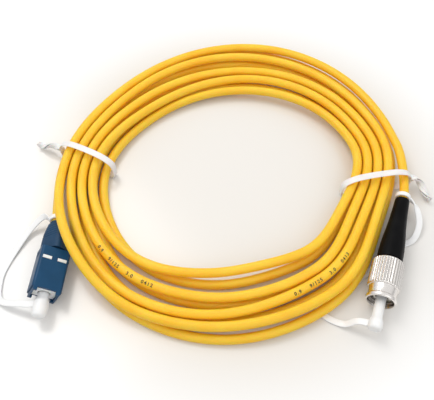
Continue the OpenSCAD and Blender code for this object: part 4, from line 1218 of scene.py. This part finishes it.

# %% [markdown]
# ## The stage
#
# A pale, faintly glossy table, a pale world and soft lamps. The lamps are as weak as they can
# be while colours still render as they are written. The camera, mirrors and glass see the
# table in a lighter colour than the one it lights the cord with, so the background turns white
# without more light on the cord. Round the coil's middle that seen colour is a warm grey: a
# painted shadow with painted bounce light from the yellow cable.

# %% The table
TABLE_HALF = 6
LIT_COLOUR = (0.6, 0.6, 0.6)
NEAR_PAINTED_SHADE, FAR_COLOUR = (0.83, 0.805, 0.765), (0.985, 0.987, 0.99)
NEAR_WITHIN, FAR_BEYOND = 0.055, 0.095


def seen_directly(tree):
    """1 for rays that come from the camera, a mirror or glass, and 0 for those that light things."""
    path = tree.nodes.new("ShaderNodeLightPath")
    total = path.outputs["Is Camera Ray"]
    for kind in ("Is Glossy Ray", "Is Transmission Ray"):
        either = tree.nodes.new("ShaderNodeMath")
        either.operation = "MAXIMUM"
        tree.links.new(total, either.inputs[0])
        tree.links.new(path.outputs[kind], either.inputs[1])
        total = either.outputs[0]
    return total


def far_from_middle(tree):
    """0 near the coil's middle, where the table carries painted shade, and 1 far from it, along a smooth
    step.
    """
    where = tree.nodes.new("ShaderNodeTexCoord")
    reach = tree.nodes.new("ShaderNodeVectorMath")
    reach.operation = "LENGTH"
    tree.links.new(where.outputs["Object"], reach.inputs[0])
    spread = span_of(tree, reach.outputs["Value"], From_Min=NEAR_WITHIN, From_Max=FAR_BEYOND)
    spread.interpolation_type = "SMOOTHSTEP"
    return spread.outputs["Result"]


def mix_of(tree, factor, first, second):
    """Colour that goes from the first to the second with the factor. The second may be
    another node's output."""
    mix = tree.nodes.new("ShaderNodeMix")
    mix.data_type = "RGBA"
    tree.links.new(factor, mix.inputs["Factor"])
    mix.inputs["A"].default_value = (*first, 1)
    if isinstance(second, tuple):
        mix.inputs["B"].default_value = (*second, 1)
    else:
        tree.links.new(second, mix.inputs["B"])
    return mix.outputs["Result"]


corners = [(-TABLE_HALF, -TABLE_HALF, 0), (TABLE_HALF, -TABLE_HALF, 0),
           (TABLE_HALF, TABLE_HALF, 0), (-TABLE_HALF, TABLE_HALF, 0)]
table_mesh = bpy.data.meshes.new("table")
table_mesh.from_pydata(corners, [], [(0, 1, 2, 3)])
table_top = link_piece(table_mesh, "table")
table_finish = new_finish("pale table", gloss=(3, 2, 0.14, 0.22), Specular_IOR_Level=0.5)
tree = table_finish.node_tree
# Painted shadow and painted warm bounce light round the coil's middle, in the colour that the camera
# sees.
seen_colour = mix_of(tree, far_from_middle(tree), NEAR_PAINTED_SHADE, FAR_COLOUR)
table_colour = mix_of(tree, seen_directly(tree), LIT_COLOUR, seen_colour)
tree.links.new(table_colour, shader_of(tree).inputs["Base Color"])
put_on(table_finish, table_top)
print("table:", 2 * TABLE_HALF, "m across")

# %% [markdown]
# The world is bright overhead and darker towards the horizon. Matt things hardly notice, but
# bright metal mirrors that dark band, and so gets the dark lines that make it look like metal.
# Two soft square lamps do the rest: a warmer one from behind, which throws the shadows towards
# the viewer, and a weaker one in front, which opens them.

# %% World and lamps
BAND_TOP, HORIZON_LIGHT, OVERHEAD_LIGHT = 0.4, 0.42, 0.84


def area_lamp(name, place, size, power, colour=(1, 1, 1)):
    """A square soft lamp that faces the coil's middle. Places are in metres."""
    data = bpy.data.lights.new(name, "AREA")
    data.size = size
    data.energy = power
    data.color = colour
    lamp = bpy.data.objects.new(name, data)
    away = unit(place)
    lamp.location = place
    lamp.rotation_euler = (math.acos(away[2]), 0, math.atan2(away[1], away[0]) + math.pi / 2)
    bpy.context.scene.collection.objects.link(lamp)


world = bpy.data.worlds.new("studio")
bpy.context.scene.world = world
world.use_nodes = True
tree = world.node_tree
sky = tree.nodes["Background"]
sky.inputs["Color"].default_value = (1, 1, 1, 1)
direction = tree.nodes.new("ShaderNodeTexCoord")
height = tree.nodes.new("ShaderNodeSeparateXYZ")
tree.links.new(direction.outputs["Generated"], height.inputs[0])
band = span_of(tree, height.outputs["Z"], From_Min=0, From_Max=BAND_TOP,
               To_Min=HORIZON_LIGHT, To_Max=OVERHEAD_LIGHT)
band.interpolation_type = "SMOOTHSTEP"
tree.links.new(band.outputs["Result"], sky.inputs["Strength"])
area_lamp("key lamp", (-0.2, 0.22, 0.5), 0.28, 1.0, (1, 0.985, 0.96))
area_lamp("fill lamp", (0.3, -0.35, 0.45), 0.5, 0.4)
print("lamps in W:", {lamp.name: round(lamp.energy, 2) for lamp in bpy.data.lights})
